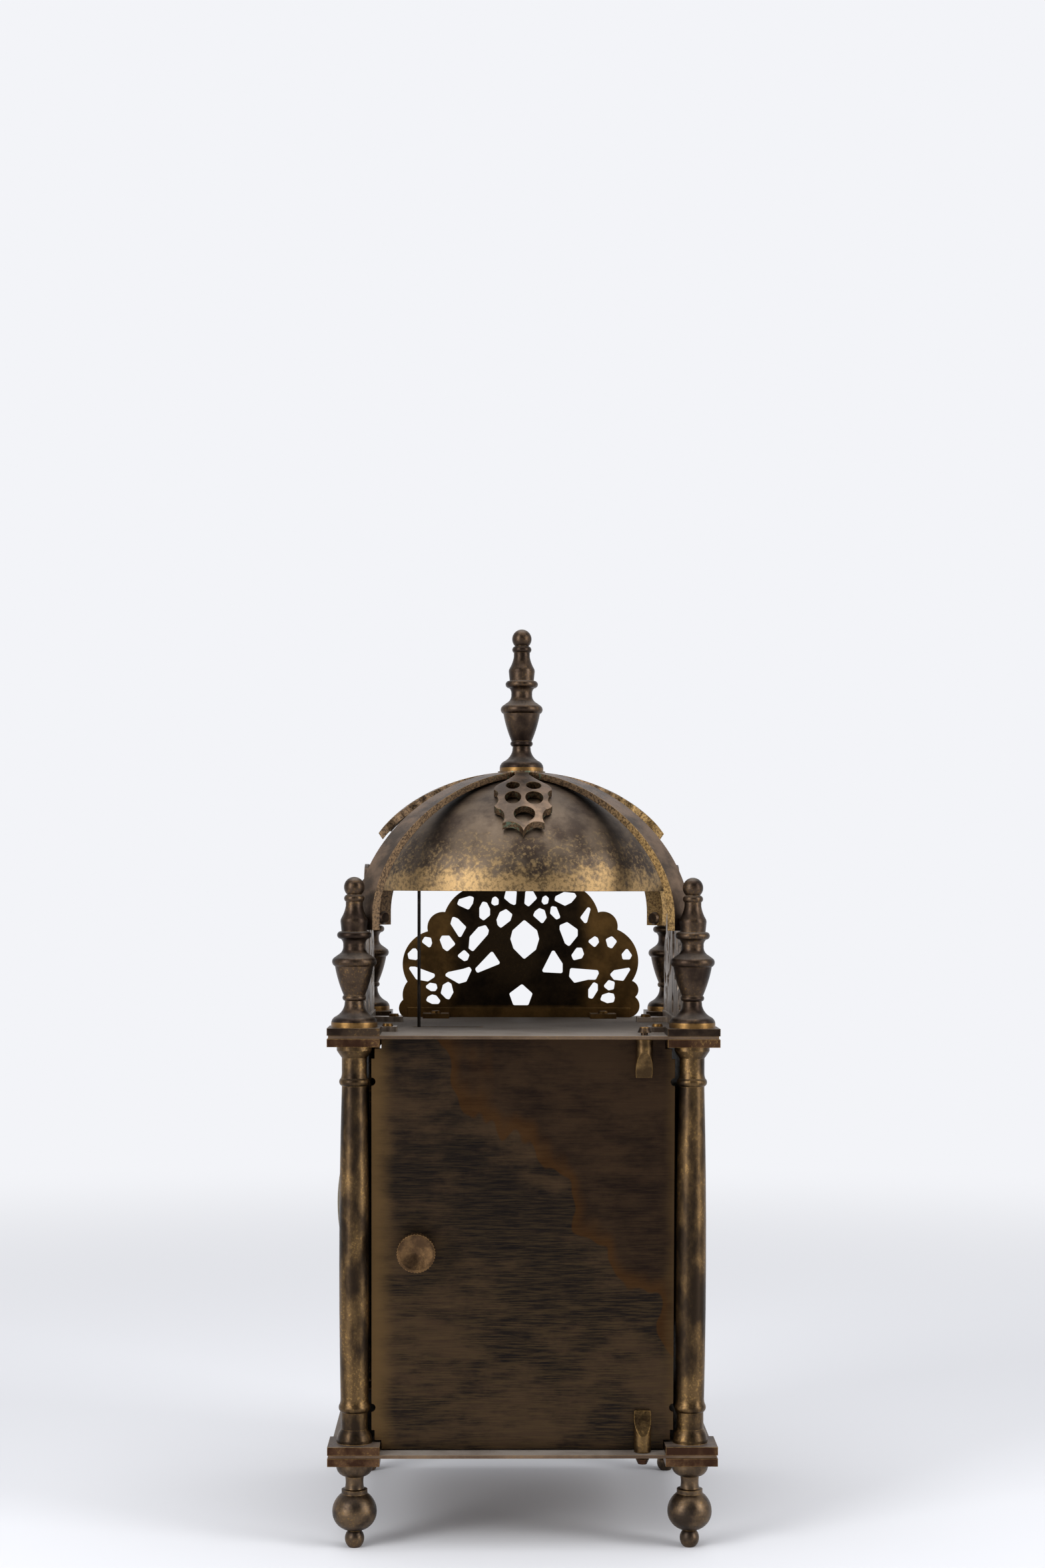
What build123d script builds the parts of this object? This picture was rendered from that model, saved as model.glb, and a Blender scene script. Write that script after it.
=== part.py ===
from build123d import *
import math
import os

# Brass lantern clock on four ball feet, struck on a bell under crossed straps.
# Millimetres, +Z up. The origin is on the floor, midway between the four feet.
# The dial faces -Y, the hinged back door faces +Y, and left and right are as seen from the dial.

os.makedirs("parts", exist_ok=True)

# Case: four posts between two square plates
post_spacing = 140.0
post_height = 172.3
plinth_side = 21.6
plate_margin = 10.3
plate_thickness = 1.4
stud_r = 2.5
stud_reach = 7.6
stud_play = 0.05
lower_plinth_height = 3.4
upper_plinth_height = 3.3

# Ball feet
foot_height = 36.0
foot_plinth_height = 3.3
foot_ball_r = 9.3
foot_ball_height = 14.9
foot_tip_r = 4.05
foot_tip_flat_r = 2.4
foot_collar_r = 5.4
foot_neck_r = 3.9
foot_cup_r = 7.6

# Posts, turned, with a slight swell
post_base_r = 7.4
post_foot_r = 5.6
post_shaft_r = 5.8
post_swell_r = 6.3
post_top_r = 5.2
post_ring_r = 6.6
post_ring_height = 18.0
post_ring_drop = 18.2
post_ring_half = 1.8
post_flare = 3.6
capital_r = 7.3
capital_height = 5.0

# Finials, one turning used five times
finial_plinth_height = 3.0
finial_height = 62.1
finial_base_r = 9.6
finial_vase_r = 8.0
finial_ring_r = 9.2
finial_upper_ring_r = 7.1
finial_bulb_r = 5.7
finial_bulb_height = 43.4
finial_ball_r = 4.25

# Bell and the straps that carry it
bell_r = 67.0
bell_height = 49.0
bell_wall = 2.6
bell_rim_height = 273.7
bell_hole_r = 2.6
strap_thickness = 4.0
strap_width = 9.6
strap_crown_thickness = 2.6
strap_rise = 62.0
strap_spring_height = 264.0
strap_tail = 6.5
strap_fullness = 1.8
strap_points = 13
strap_end_r = 6.4
crown_hub_r = 10.4
leaf_gap = 1.4
leaf_thickness = 3.2
leaf_tilt = 34.0
strap_screw_r = 1.5
strap_screw_head_r = 3.0
strap_screw_head_height = 1.6
strap_screw_reach = 4.0
nut_r = 5.0
nut_height = 4.0

# Doors between the posts
door_thickness = 1.5
door_setback = 0.4
door_edge_gap = 7.1
door_end_gap = 0.6
door_step_in = 11.2
door_step_height = 4.4
door_second_step_in = 8.4
door_second_step_height = 8.6
door_notch_r = 1.7
hinge_inset = 13.0
peg_r = 3.55
peg_stand = 3.1
upper_peg_length = 16.0
lower_peg_length = 16.8
peg_end_gap = 0.3
peg_bevel_start = 5.0
lower_peg_bevel_start = 6.8
pivot_r = 1.45
pivot_play = 0.05
pivot_reach = 9.0
pivot_head_r = 2.9
pivot_head_height = 2.3
pivot_head_lift = 1.2
side_peg_r = 1.6
side_peg_length = 9.0
side_pin_r = 1.0
knob_x = 44.1
knob_height = 125.0
knob_r = 8.0
knob_thickness = 5.0
knob_stand = 7.6
knob_spindle_r = 1.5
knob_knurls = 40
latch_reach = 24.0
latch_width = 5.0
latch_thickness = 1.6
latch_depth = 8.6
side_knob_y = 44.0
side_knob_r = 4.6
side_knob_length = 6.2
side_knob_neck_r = 2.0
side_knob_waist_r = 1.6

# Dial
dial_height = 126.0
dial_plate_thickness = 1.4
dial_plate_front = -71.2
dial_tab_width = 9.0
dial_tab_x = 35.0
tab_play = 0.1
chapter_outer_r = 85.3
chapter_inner_r = 57.0
chapter_thickness = 1.5
chapter_front = -79.5
chapter_foot_r = 2.0
chapter_foot_circle_r = 71.0
chapter_foot_through = 2.6
engraving_depth = 0.3
winding_hole_r = 4.5
winding_square = 3.4
winding_square_end = -70.8
minute_track_width = 4.4
minute_mark_width = 0.5
ring_line_inset = 0.8
ring_line_width = 0.4
numeral_height = 15.0
numeral_stroke = 2.0
numeral_thin_stroke = 1.0

# Frets over the front and the two sides
fret_thickness = 1.6
fret_corner_r = 0.9
fret_strip_length = 104.0
fret_face = 67.0
fret_strip_height = 4.4
fret_strip_proud = 0.8
fret_lug_thickness = 2.2
fret_lug_width = 12.0
fret_lug_length = 14.0
fret_screw_r = 1.3
fret_screw_head_r = 2.4
fret_screw_head_height = 1.2

# Movement frame
frame_front = -52.0
frame_rear = 10.0
frame_plate_thickness = 2.0
frame_half_width = 52.0
frame_bottom = 62.0
frame_top = 186.0
frame_leg_width = 12.0
pillar_r = 3.5
pillar_stud_r = 1.5
pillar_x = 44.0
pillar_low = 68.0
pillar_high = 179.0
upper_right_pillar_x = 20.0
pillar_nut_r = 3.4
pillar_nut_height = 2.4
pillar_stud_reach = 3.0
bracket_flange = 9.0
bracket_thickness = 1.6
bracket_screw_r = 1.5
bracket_screw_head_r = 2.8
bracket_screw_head_height = 1.5
arbor_r = 1.2
arbor_pivot_r = 0.8
arbor_play = 0.05
arbor_shoulder_gap = 0.2

# Wheel work: teeth, modules and where each wheel stands along its arbor
barrel_teeth = 96
barrel_module = 0.6
centre_pinion_leaves = 8
centre_teeth = 84
centre_module = 0.5
third_pinion_leaves = 7
third_teeth = 77
third_module = 0.45
escape_pinion_leaves = 7
escape_teeth = 40
escape_r = 14.0
escape_tooth_depth = 2.6
escape_rim_width = 2.1
barrel_bearing = 225.0
third_arbor_x = -16.0
wheel_thickness = 1.5
rim_width = 2.6
hub_r = 3.2
spoke_width = 1.8
spoke_count = 4
barrel_drum_r = 25.0
barrel_drum_length = 20.0
barrel_arbor_r = 3.0
ratchet_r = 8.0
ratchet_teeth = 24
barrel_wheel_y = -24.0
centre_wheel_y = -10.5
third_wheel_y = -18.5
escape_wheel_y = -0.8
pinion_length = 4.2
tooth_addendum = 0.75
tooth_dedendum = 1.1
tooth_root_share = 0.46
tooth_tip_share = 0.18

# Motion work behind the dial
cannon_leaves = 12
minute_teeth = 36
minute_module = 0.5
minute_pinion_leaves = 10
hour_teeth = 40
minute_bearing = -30.0
cannon_y = -54.0
cannon_length = 2.94
cannon_bore_r = 1.25
cannon_pipe_r = 1.9
hour_bore_r = 2.0
hour_pipe_r = 3.2
hour_hole_r = 3.6
hour_wheel_y = -58.6
hour_wheel_thickness = 1.2
minute_wheel_y = -55.3
minute_wheel_thickness = 1.2
minute_pinion_length = 3.8
minute_post_r = 1.0
minute_post_length = 10.4
hour_hand_y = -80.8
hour_hand_length = 50.0
minute_hand_y = -83.2
minute_hand_length = 76.0
hand_thickness = 0.9
hand_nut_r = 3.0
hand_nut_length = 2.2

# Pendulum, crutch and pallets
pallet_height = 172.0
pallet_y = -0.6
pallet_thickness = 1.6
pallet_clearance = 1.1
pallet_span = 46.0
crutch_y = 15.5
crutch_thickness = 1.5
crutch_drop = 30.0
crutch_width = 3.0
fork_reach = 29.0
fork_width = 7.0
fork_play = 0.25
cock_foot_x = 15.0
cock_width = 8.0
cock_bar_y = 20.0
cock_bar_thickness = 3.0
cock_bar_rise = 12.0
cock_bar_drop = 4.0
pendulum_y = 26.0
suspension_gap = 0.1
suspension_length = 8.0
suspension_strip = 0.3
suspension_width = 4.0
pendulum_length = 115.5
pendulum_rod_r = 1.2
bob_r = 11.0
bob_thickness = 9.0
bob_edge = 2.0
rating_nut_r = 3.2
rating_nut_height = 2.4
rod_tail = 0.8

# Striking
hammer_x = 44.6
hammer_pivot_height = 112.0
hammer_stem_y = 15.0
hammer_tail_y = -3.0
hammer_stem_r = 0.7
hammer_head_height = 284.0
hammer_head_r = 5.2
hammer_strike_angle = 1.2
hammer_lift_angle = 15.0
hammer_hub_r = 3.0
hammer_hub_length = 5.0
hammer_tail_length = 9.8
bell_strike_gap = 0.25
slot_width = 4.0
slot_end_gap = 0.9
strike_x = 26.0
strike_z = 84.0
strike_teeth = 72
strike_module = 0.55
strike_drum_r = 17.0
pin_pinion_leaves = 8
pin_bearing = 100.0
pin_teeth = 64
pin_module = 0.5
pin_wheel_y = -5.5
pin_count = 8
pin_circle_r = 12.0
lifting_pin_r = 0.6
lifting_pin_length = 2.4
fly_leaves = 8
fly_bearing = 60.0
fly_vane_r = 10.0
fly_vane_width = 9.0
fly_vane_thickness = 0.8
fly_y = -34.0

# Heights worked out from the sizes above
foot_top = foot_height + foot_plinth_height
floor_top = foot_top + plate_thickness
roof_bottom = floor_top + post_height
roof_top = roof_bottom + plate_thickness
finial_bottom = roof_top + finial_plinth_height
crown_top = strap_spring_height + strap_rise
half = post_spacing / 2
plate_side = post_spacing + 2 * plate_margin
corners = {
    "front_left": (-half, -half),
    "front_right": (half, -half),
    "rear_right": (half, half),
    "rear_left": (-half, half),
}
strap_reach = half * math.sqrt(2) - finial_bulb_r - stud_play


def facing(x, y, z):
    """Upright plane that faces the dial side, with its origin at x, y, z."""
    return Plane(origin=(x, y, z), x_dir=(1, 0, 0), z_dir=(0, -1, 0))


def turned_facing(x, y, z, degrees):
    """Upright plane that faces the dial side, turned clockwise as seen from the dial."""
    turn = math.radians(degrees)
    return Plane(origin=(x, y, z), x_dir=(math.cos(turn), 0, -math.sin(turn)), z_dir=(0, -1, 0))


def level(x, y, z):
    """Level plane that faces up, with its origin at x, y, z."""
    return Plane(origin=(x, y, z), x_dir=(1, 0, 0), z_dir=(0, 0, 1))


def turned_face(moves, x, y, z):
    """Half section of a turned piece: a pair is a straight cut, four numbers are an arc's middle and end."""
    with BuildSketch(facing(x, y, z)) as section:
        with BuildLine():
            here = moves[0]
            for move in moves[1:]:
                if len(move) == 2:
                    Line(here, move)
                else:
                    ThreePointArc(here, move[:2], move[2:])
                here = move[-2:]
            if here[0] > 0:
                Line(here, (0, here[1]))
            Line((0, here[1]), (0, moves[0][1]))
            Line((0, moves[0][1]), moves[0])
        make_face()
    return section.sketch


def upright_axis(x, y):
    """Vertical axis through x, y."""
    return Axis((x, y, 0), (0, 0, 1))


def disc(radius, x, y, z):
    """Round face that faces the dial side."""
    with BuildSketch(facing(x, y, z)) as face:
        Circle(radius)
    return face.sketch


def ring(outer, inner, x, y, z):
    """Round face with a round hole, facing the dial side."""
    with BuildSketch(facing(x, y, z)) as face:
        Circle(outer)
        Circle(inner, mode=Mode.SUBTRACT)
    return face.sketch


def level_disc(radius, x, y, z):
    """Round face that faces up."""
    with BuildSketch(level(x, y, z)) as face:
        Circle(radius)
    return face.sketch


def level_square(side, x, y, z):
    """Square face that faces up."""
    with BuildSketch(level(x, y, z)) as face:
        Rectangle(side, side)
    return face.sketch


def upright_block(width, height, x, y, z):
    """Rectangular face that faces the dial side, centred at x, z."""
    with BuildSketch(facing(x, y, z)) as face:
        Rectangle(width, height)
    return face.sketch


def level_block(width, depth, x, y, z):
    """Rectangular face that faces up, centred at x, y."""
    with BuildSketch(level(x, y, z)) as face:
        Rectangle(width, depth)
    return face.sketch


# Turning outlines, each a list of radius and height above its own base

foot_moves = [
    (foot_tip_flat_r, 0),
    (foot_tip_r, 3.6, 2.7, 7.1),
    (7.4, 9.8, foot_ball_r, foot_ball_height),
    (8.3, 19.2, foot_collar_r, 22.6),
    (foot_collar_r, 24.4),
    (foot_neck_r + 0.1, 24.7),
    (foot_neck_r - 0.2, 27.3, foot_neck_r, 29.8),
    (4.7, 30.1),
    (6.7, 31.5, foot_cup_r, 33.8),
    (foot_cup_r, foot_height),
]

post_turning_top = post_height - upper_plinth_height
upper_ring_height = post_height - post_ring_drop
post_moves = [
    (post_base_r, lower_plinth_height),
    (post_base_r, lower_plinth_height + 1.4),
    (post_base_r - 0.5, lower_plinth_height + 3.4, post_foot_r + 0.2, lower_plinth_height + 5.5),
    (post_foot_r, lower_plinth_height + 5.8),
    (post_foot_r, post_ring_height - post_ring_half),
    (post_ring_r, post_ring_height, post_shaft_r + 0.4, post_ring_height + 0.8 * post_ring_half),
    (post_shaft_r + 0.1, post_ring_height + 0.7 * post_flare, post_shaft_r, post_ring_height + post_flare),
    (post_swell_r, post_height * 0.51, post_top_r, upper_ring_height - post_ring_half),
    (post_ring_r - 0.3, upper_ring_height, post_top_r + 0.4, upper_ring_height + 0.8 * post_ring_half),
    (post_top_r + 0.1, upper_ring_height + 0.7 * post_flare, post_top_r, upper_ring_height + post_flare),
    (post_top_r, post_turning_top - capital_height),
    (post_top_r + 1.2, post_turning_top - 3.3, capital_r, post_turning_top - 1.9),
    (capital_r, post_turning_top),
]

finial_top_ball_start_r = 3.0
finial_ball_height = finial_height - finial_ball_r
finial_top_ball_start = finial_ball_height - math.sqrt(finial_ball_r**2 - finial_top_ball_start_r**2)
finial_moves = [
    (finial_base_r, 0),
    (finial_base_r, 1.6),
    (finial_base_r - 0.5, 3.2, 7.6, 4.5),
    (5.2, 6.6, 4.1, 9.0),
    (3.9, 10.9),
    (4.9, 12.0, 4.4, 13.2),
    (finial_vase_r - 1.6, 18.6, finial_vase_r, 25.2),
    (finial_ring_r, 27.0, finial_vase_r + 0.4, 28.7),
    (6.6, 30.0),
    (4.9, 31.8, 4.6, 33.8),
    (4.8, 35.4, 5.6, 36.5),
    (finial_upper_ring_r, 38.1, 5.9, 39.6),
    (5.3, 39.7),
    (finial_bulb_r, finial_bulb_height + 0.2),
    (finial_bulb_r - 0.1, finial_bulb_height + 1.1, 5.3, 45.2),
    (4.1, 47.8, 3.5, 50.2),
    (3.5, 51.9),
    (4.2, 53.3, 3.2, 54.7),
    (finial_top_ball_start_r, finial_top_ball_start),
    (finial_ball_r, finial_ball_height, 0, finial_height),
]


# Feet
with BuildPart() as ball_feet:
    for x, y in corners.values():
        revolve(turned_face(foot_moves, x, y, 0), axis=upright_axis(x, y))
        extrude(level_square(plinth_side, x, y, foot_height), amount=foot_plinth_height)
        bore = level_disc(stud_r + stud_play, x, y, foot_top)
        extrude(bore, amount=-stud_reach - 4 * stud_play, mode=Mode.SUBTRACT)
ball_feet.part.label = "ball_feet"
export_step(ball_feet.part, "parts/ball_feet.step")

# Door hinge lines, shared by the doors, their pins and the plates
door_half_width = half - door_edge_gap
door_inner = half - door_setback
door_outer = door_inner + door_thickness
hinge_x = -(door_half_width - hinge_inset)
hinge_y = door_outer + peg_stand
side_hinge_y = -(door_half_width - hinge_inset)
side_hinge_x = door_outer + side_peg_r


def hole_through(x, y, z, radius):
    """Round hole through a plate whose underside is at height z."""
    extrude(level_disc(radius, x, y, z), amount=plate_thickness, mode=Mode.SUBTRACT)


def case_plate(z):
    """Square plate with holes for the post studs, hinge pins and dial tabs."""
    with BuildPart() as plate:
        extrude(level_square(plate_side, 0, 0, z), amount=plate_thickness)
        for x, y in corners.values():
            hole_through(x, y, z, stud_r + stud_play)
        hole_through(hinge_x, hinge_y, z, pivot_r + pivot_play)
        for side in (-1, 1):
            hole_through(side * side_hinge_x, side_hinge_y, z, side_pin_r + pivot_play)
            tab = level_block(
                dial_tab_width + 2 * tab_play,
                dial_plate_thickness + 2 * tab_play,
                side * dial_tab_x,
                dial_plate_front + dial_plate_thickness / 2,
                z,
            )
            extrude(tab, amount=plate_thickness, mode=Mode.SUBTRACT)
    return plate.part


# Where the fret lugs and the movement brackets are screwed down
fret_lugs = [
    (-39.0, -(fret_face - fret_lug_length + 4.0)),
    (38.5, -(fret_face - fret_lug_length + 4.0)),
    (-(fret_face - fret_lug_length + 4.0), 48.0),
    (-(fret_face - fret_lug_length + 4.0), -30.0),
    (fret_face - fret_lug_length + 4.0, 48.0),
    (fret_face - fret_lug_length + 4.0, -30.0),
]
leg_x = frame_half_width - frame_leg_width / 2
bracket_front_y = frame_front + frame_plate_thickness
bracket_rear_y = frame_rear - frame_plate_thickness
bracket_holes = [
    (side * leg_x, y)
    for side in (-1, 1)
    for y in (bracket_front_y + bracket_flange / 2 + 1, bracket_rear_y - bracket_flange / 2 - 1)
]

with BuildPart() as bottom_plate:
    add(case_plate(foot_top))
    for x, y in bracket_holes:
        hole_through(x, y, foot_top, bracket_screw_r + stud_play)
bottom_plate.part.label = "bottom_plate"
export_step(bottom_plate.part, "parts/bottom_plate.step")

# Slot in the top plate, as long as the hammer's stem needs at that height
slot_lever = roof_top - hammer_pivot_height
slot_high_x = hammer_x + slot_lever * math.tan(math.radians(hammer_strike_angle)) + slot_end_gap
slot_low_x = hammer_x - slot_lever * math.tan(math.radians(hammer_lift_angle)) - slot_end_gap
with BuildPart() as top_plate:
    add(case_plate(roof_bottom))
    for x, y in fret_lugs:
        hole_through(x, y, roof_bottom, fret_screw_r + stud_play)
    with BuildSketch(level((slot_low_x + slot_high_x) / 2, hammer_stem_y, roof_bottom)) as hammer_slot:
        SlotOverall(slot_high_x - slot_low_x, slot_width)
    extrude(hammer_slot.sketch, amount=plate_thickness, mode=Mode.SUBTRACT)
top_plate.part.label = "top_plate"
export_step(top_plate.part, "parts/top_plate.step")

# Posts, with a stud at each end that screws into the foot below and the finial above
for corner, (x, y) in corners.items():
    with BuildPart() as post:
        revolve(turned_face(post_moves, x, y, floor_top), axis=upright_axis(x, y))
        extrude(level_square(plinth_side, x, y, floor_top), amount=lower_plinth_height)
        upper_plinth = level_square(plinth_side, x, y, roof_bottom)
        extrude(upper_plinth, amount=-upper_plinth_height)
        extrude(level_disc(stud_r, x, y, floor_top), amount=-plate_thickness - stud_reach)
        extrude(level_disc(stud_r, x, y, roof_bottom), amount=plate_thickness + stud_reach)
    post.part.label = f"post_{corner}"
    export_step(post.part, f"parts/post_{corner}.step")

# Corner finials, each drilled for its stud and for the screw of the strap
strap_screw_height = finial_bottom + finial_bulb_height
with BuildPart() as corner_finials:
    for x, y in corners.values():
        revolve(turned_face(finial_moves, x, y, finial_bottom), axis=upright_axis(x, y))
        extrude(level_square(plinth_side, x, y, roof_top), amount=finial_plinth_height)
        bore = level_disc(stud_r + stud_play, x, y, roof_top)
        extrude(bore, amount=stud_reach + 4 * stud_play, mode=Mode.SUBTRACT)
        outward = Vector(x, y, 0).normalized()
        drill_plane = Plane(origin=outward * strap_reach + Vector(0, 0, strap_screw_height), z_dir=outward)
        with BuildSketch(drill_plane) as drilling:
            Circle(strap_screw_r + stud_play)
        extrude(drilling.sketch, amount=strap_screw_reach + 4 * stud_play, mode=Mode.SUBTRACT)
corner_finials.part.label = "corner_finials"
export_step(corner_finials.part, "parts/corner_finials.step")

# Crown finial, with the stud that hangs the bell
bell_top = bell_rim_height + bell_height
bell_nut_top = bell_top - bell_wall
with BuildPart() as crown_finial:
    revolve(turned_face(finial_moves, 0, 0, crown_top), axis=Axis.Z)
    hanger = level_disc(stud_r, 0, 0, crown_top)
    extrude(hanger, amount=-(crown_top - bell_nut_top + nut_height + 1.0))
crown_finial.part.label = "crown_finial"
export_step(crown_finial.part, "parts/crown_finial.step")


def half_dome_face(radius, height, base, plane_turn):
    """Quarter ellipse from the rim up to the vertical axis, on an upright plane turned about it."""
    turn = math.radians(plane_turn)
    plane = Plane(
        origin=(0, 0, base),
        x_dir=(math.cos(turn), math.sin(turn), 0),
        z_dir=(math.sin(turn), -math.cos(turn), 0),
    )
    with BuildSketch(plane) as face:
        with BuildLine():
            EllipticalCenterArc((0, 0), radius, height, start_angle=0, arc_size=90)
            Line((0, height), (0, 0))
            Line((0, 0), (radius, 0))
        make_face()
    return face.sketch


# Bell
with BuildPart() as bell:
    revolve(half_dome_face(bell_r, bell_height, bell_rim_height, 0), axis=Axis.Z)
    hollow = half_dome_face(bell_r - bell_wall, bell_height - bell_wall, bell_rim_height, 0)
    revolve(hollow, axis=Axis.Z, mode=Mode.SUBTRACT)
    bell_hole = level_disc(bell_hole_r, 0, 0, bell_top - 2 * bell_wall)
    extrude(bell_hole, amount=3 * bell_wall, mode=Mode.SUBTRACT)
bell.part.label = "bell"
export_step(bell.part, "parts/bell.step")

with BuildPart() as bell_nut:
    with BuildSketch(level(0, 0, bell_nut_top - nut_height - 0.6)) as nut_face:
        RegularPolygon(nut_r, 6)
        Circle(stud_r + stud_play, mode=Mode.SUBTRACT)
    extrude(nut_face.sketch, amount=nut_height)
bell_nut.part.label = "bell_nut"
export_step(bell_nut.part, "parts/bell_nut.step")

# Half of the leaf on its own tilted plane: across from its middle, and down from it.
# It starts at the tip, and each lobe or notch is an arc by its middle and its end.
leaf_tip = (0.0, 20.2)
leaf_moves = [
    (1.6, 17.2, 4.0, 15.4),
    (6.4, 15.1, 8.8, 15.6),
    (8.1, 10.4, 9.6, 7.0),
    (11.0, 6.1, 12.2, 4.2),
    (10.5, 0.6, 11.0, -2.8),
    (10.6, -6.2, 12.3, -9.4),
    (11.9, -12.4, 9.6, -16.0),
    (5.2, -23.0, 2.9, -30.0),
]
leaf_neck = (2.9, -42.0)
leaf_middle_r = 48.0
leaf_middle_rise = 39.3
leaf_holes = [
    (-4.2, -13.2, 3.0, 4.2),
    (4.6, -13.2, 3.3, 4.3),
    (-4.3, -1.6, 3.5, 5.2),
    (4.7, -1.4, 3.8, 5.4),
    (0.4, 10.4, 4.5, 4.8),
]
leaf_outer_r = bell_r + leaf_gap + leaf_thickness
leaf_outer_height = crown_top - bell_rim_height
leaf_cut_depth = 30.0


def leaf_face(turn):
    """Leaf outline with its five holes, on a plane square to the middle of the leaf."""
    radial = Vector(math.cos(turn), math.sin(turn), 0)
    across = Vector(-math.sin(turn), math.cos(turn), 0)
    tilt = math.radians(leaf_tilt)
    normal = radial * math.sin(tilt) + Vector(0, 0, math.cos(tilt))
    middle = radial * leaf_middle_r + Vector(0, 0, bell_rim_height + leaf_middle_rise)
    plane = Plane(origin=middle, x_dir=across, z_dir=normal)
    down = plane.y_dir.dot(radial)
    sense = -1 if down < 0 else 1
    with BuildSketch(plane) as face:
        with BuildLine():
            for side in (-1, 1):
                here = (0, sense * leaf_tip[1])
                for middle_w, middle_v, end_w, end_v in leaf_moves:
                    there = (side * end_w, sense * end_v)
                    ThreePointArc(here, (side * middle_w, sense * middle_v), there)
                    here = there
                Line(here, (side * leaf_neck[0], sense * leaf_neck[1]))
            Line((-leaf_neck[0], sense * leaf_neck[1]), (leaf_neck[0], sense * leaf_neck[1]))
        make_face()
        for hole_x, hole_v, hole_w, hole_h in leaf_holes:
            with Locations((hole_x, sense * hole_v)):
                Ellipse(hole_w, hole_h, mode=Mode.SUBTRACT)
    return face.sketch


def leaf_solid(turn):
    """One pierced leaf, cut from a thin dome that follows the bell."""
    with BuildPart() as leaf:
        revolve(half_dome_face(leaf_outer_r, leaf_outer_height, bell_rim_height, 0), axis=Axis.Z)
        inner_r = leaf_outer_r - leaf_thickness
        inner_height = leaf_outer_height - leaf_thickness
        revolve(half_dome_face(inner_r, inner_height, bell_rim_height, 0), axis=Axis.Z, mode=Mode.SUBTRACT)
        extrude(leaf_face(turn), amount=leaf_cut_depth, both=True, mode=Mode.INTERSECT)
    return leaf.part


def arch_points(reach, rise):
    """Points from the foot of an arch up to the crown's hub; a fullness of 2 would be an ellipse."""
    last_turn = math.acos((strap_end_r / strap_reach) ** (strap_fullness / 2))
    points = []
    for step in range(strap_points):
        turn = last_turn * step / (strap_points - 1)
        across = reach * math.cos(turn) ** (2 / strap_fullness)
        up = rise * math.sin(turn) ** (2 / strap_fullness)
        points.append((across, up))
    return points


def strap_face(turn):
    """Half of a bent strap, from its tail to the hub, on the upright plane through one corner."""
    plane = Plane(
        origin=(0, 0, strap_spring_height),
        x_dir=(math.cos(turn), math.sin(turn), 0),
        z_dir=(math.sin(turn), -math.cos(turn), 0),
    )
    outer = arch_points(strap_reach, strap_rise)
    inner = arch_points(strap_reach - strap_thickness, strap_rise - strap_crown_thickness)
    outer_tail = (outer[0][0], -strap_tail)
    inner_tail = (inner[0][0], -strap_tail)
    with BuildSketch(plane) as face:
        with BuildLine():
            Spline(*outer)
            Line(outer[-1], inner[-1])
            Spline(*inner)
            Polyline(inner[0], inner_tail, outer_tail, outer[0])
        make_face()
    return face.sketch


# Crown: two crossed straps and four leaves, cast in one
quarter_turns = [math.radians(90 * k) for k in range(4)]
diagonal_turns = [math.radians(45 + 90 * k) for k in range(4)]
with BuildPart() as crown_straps:
    for turn in diagonal_turns:
        extrude(strap_face(turn), amount=strap_width / 2, both=True)
    extrude(level_disc(crown_hub_r, 0, 0, crown_top), amount=-leaf_thickness)
    for turn in quarter_turns:
        add(leaf_solid(turn))
    over_crown = level_square(post_spacing, 0, 0, crown_top)
    extrude(over_crown, amount=strap_thickness, mode=Mode.SUBTRACT)
    extrude(level_disc(bell_hole_r, 0, 0, crown_top), amount=-3 * strap_thickness, mode=Mode.SUBTRACT)
    for turn in diagonal_turns:
        outward = Vector(math.cos(turn), math.sin(turn), 0)
        drill_start = outward * (strap_reach - 2 * strap_thickness) + Vector(0, 0, strap_screw_height)
        with BuildSketch(Plane(origin=drill_start, z_dir=outward)) as drilling:
            Circle(strap_screw_r + stud_play)
        extrude(drilling.sketch, amount=3 * strap_thickness, mode=Mode.SUBTRACT)
crown_straps.part.label = "crown_straps"
export_step(crown_straps.part, "parts/crown_straps.step")

# Screws that hold the straps to the finials, heads inwards
with BuildPart() as strap_screws:
    for turn in diagonal_turns:
        outward = Vector(math.cos(turn), math.sin(turn), 0)
        seat = outward * (strap_reach - strap_thickness) + Vector(0, 0, strap_screw_height)
        with BuildSketch(Plane(origin=seat, z_dir=outward)) as shank:
            Circle(strap_screw_r)
        extrude(shank.sketch, amount=strap_thickness + strap_screw_reach)
        with BuildSketch(Plane(origin=seat, z_dir=-outward)) as head:
            Circle(strap_screw_head_r)
        extrude(head.sketch, amount=strap_screw_head_height, taper=20)
strap_screws.part.label = "strap_screws"
export_step(strap_screws.part, "parts/strap_screws.step")


# Doors
def door_plane(y):
    """Upright plane on the case's middle line, where a door is drawn before it is turned to its side."""
    return facing(0, y, floor_top)


def door_outline(plane, post_x):
    """Door sheet that clears the plinths, capitals and rings of the two posts beside it."""
    height = post_height - 2 * door_end_gap
    middle = post_height / 2
    notches = (post_ring_height, upper_ring_height)
    with BuildSketch(plane) as face:
        with Locations((0, middle)):
            Rectangle(2 * door_half_width, height)
        for side in (-1, 1):
            for end, sense in ((0, 1), (post_height, -1)):
                first = (side * post_x, end + sense * door_step_height / 2)
                with Locations(first):
                    Rectangle(2 * door_step_in, door_step_height, mode=Mode.SUBTRACT)
                second = (side * post_x, end + sense * door_second_step_height / 2)
                with Locations(second):
                    Rectangle(2 * door_second_step_in, door_second_step_height, mode=Mode.SUBTRACT)
            for notch in notches:
                with Locations((side * door_half_width, notch)):
                    Circle(door_notch_r, mode=Mode.SUBTRACT)
    return face.sketch


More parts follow.
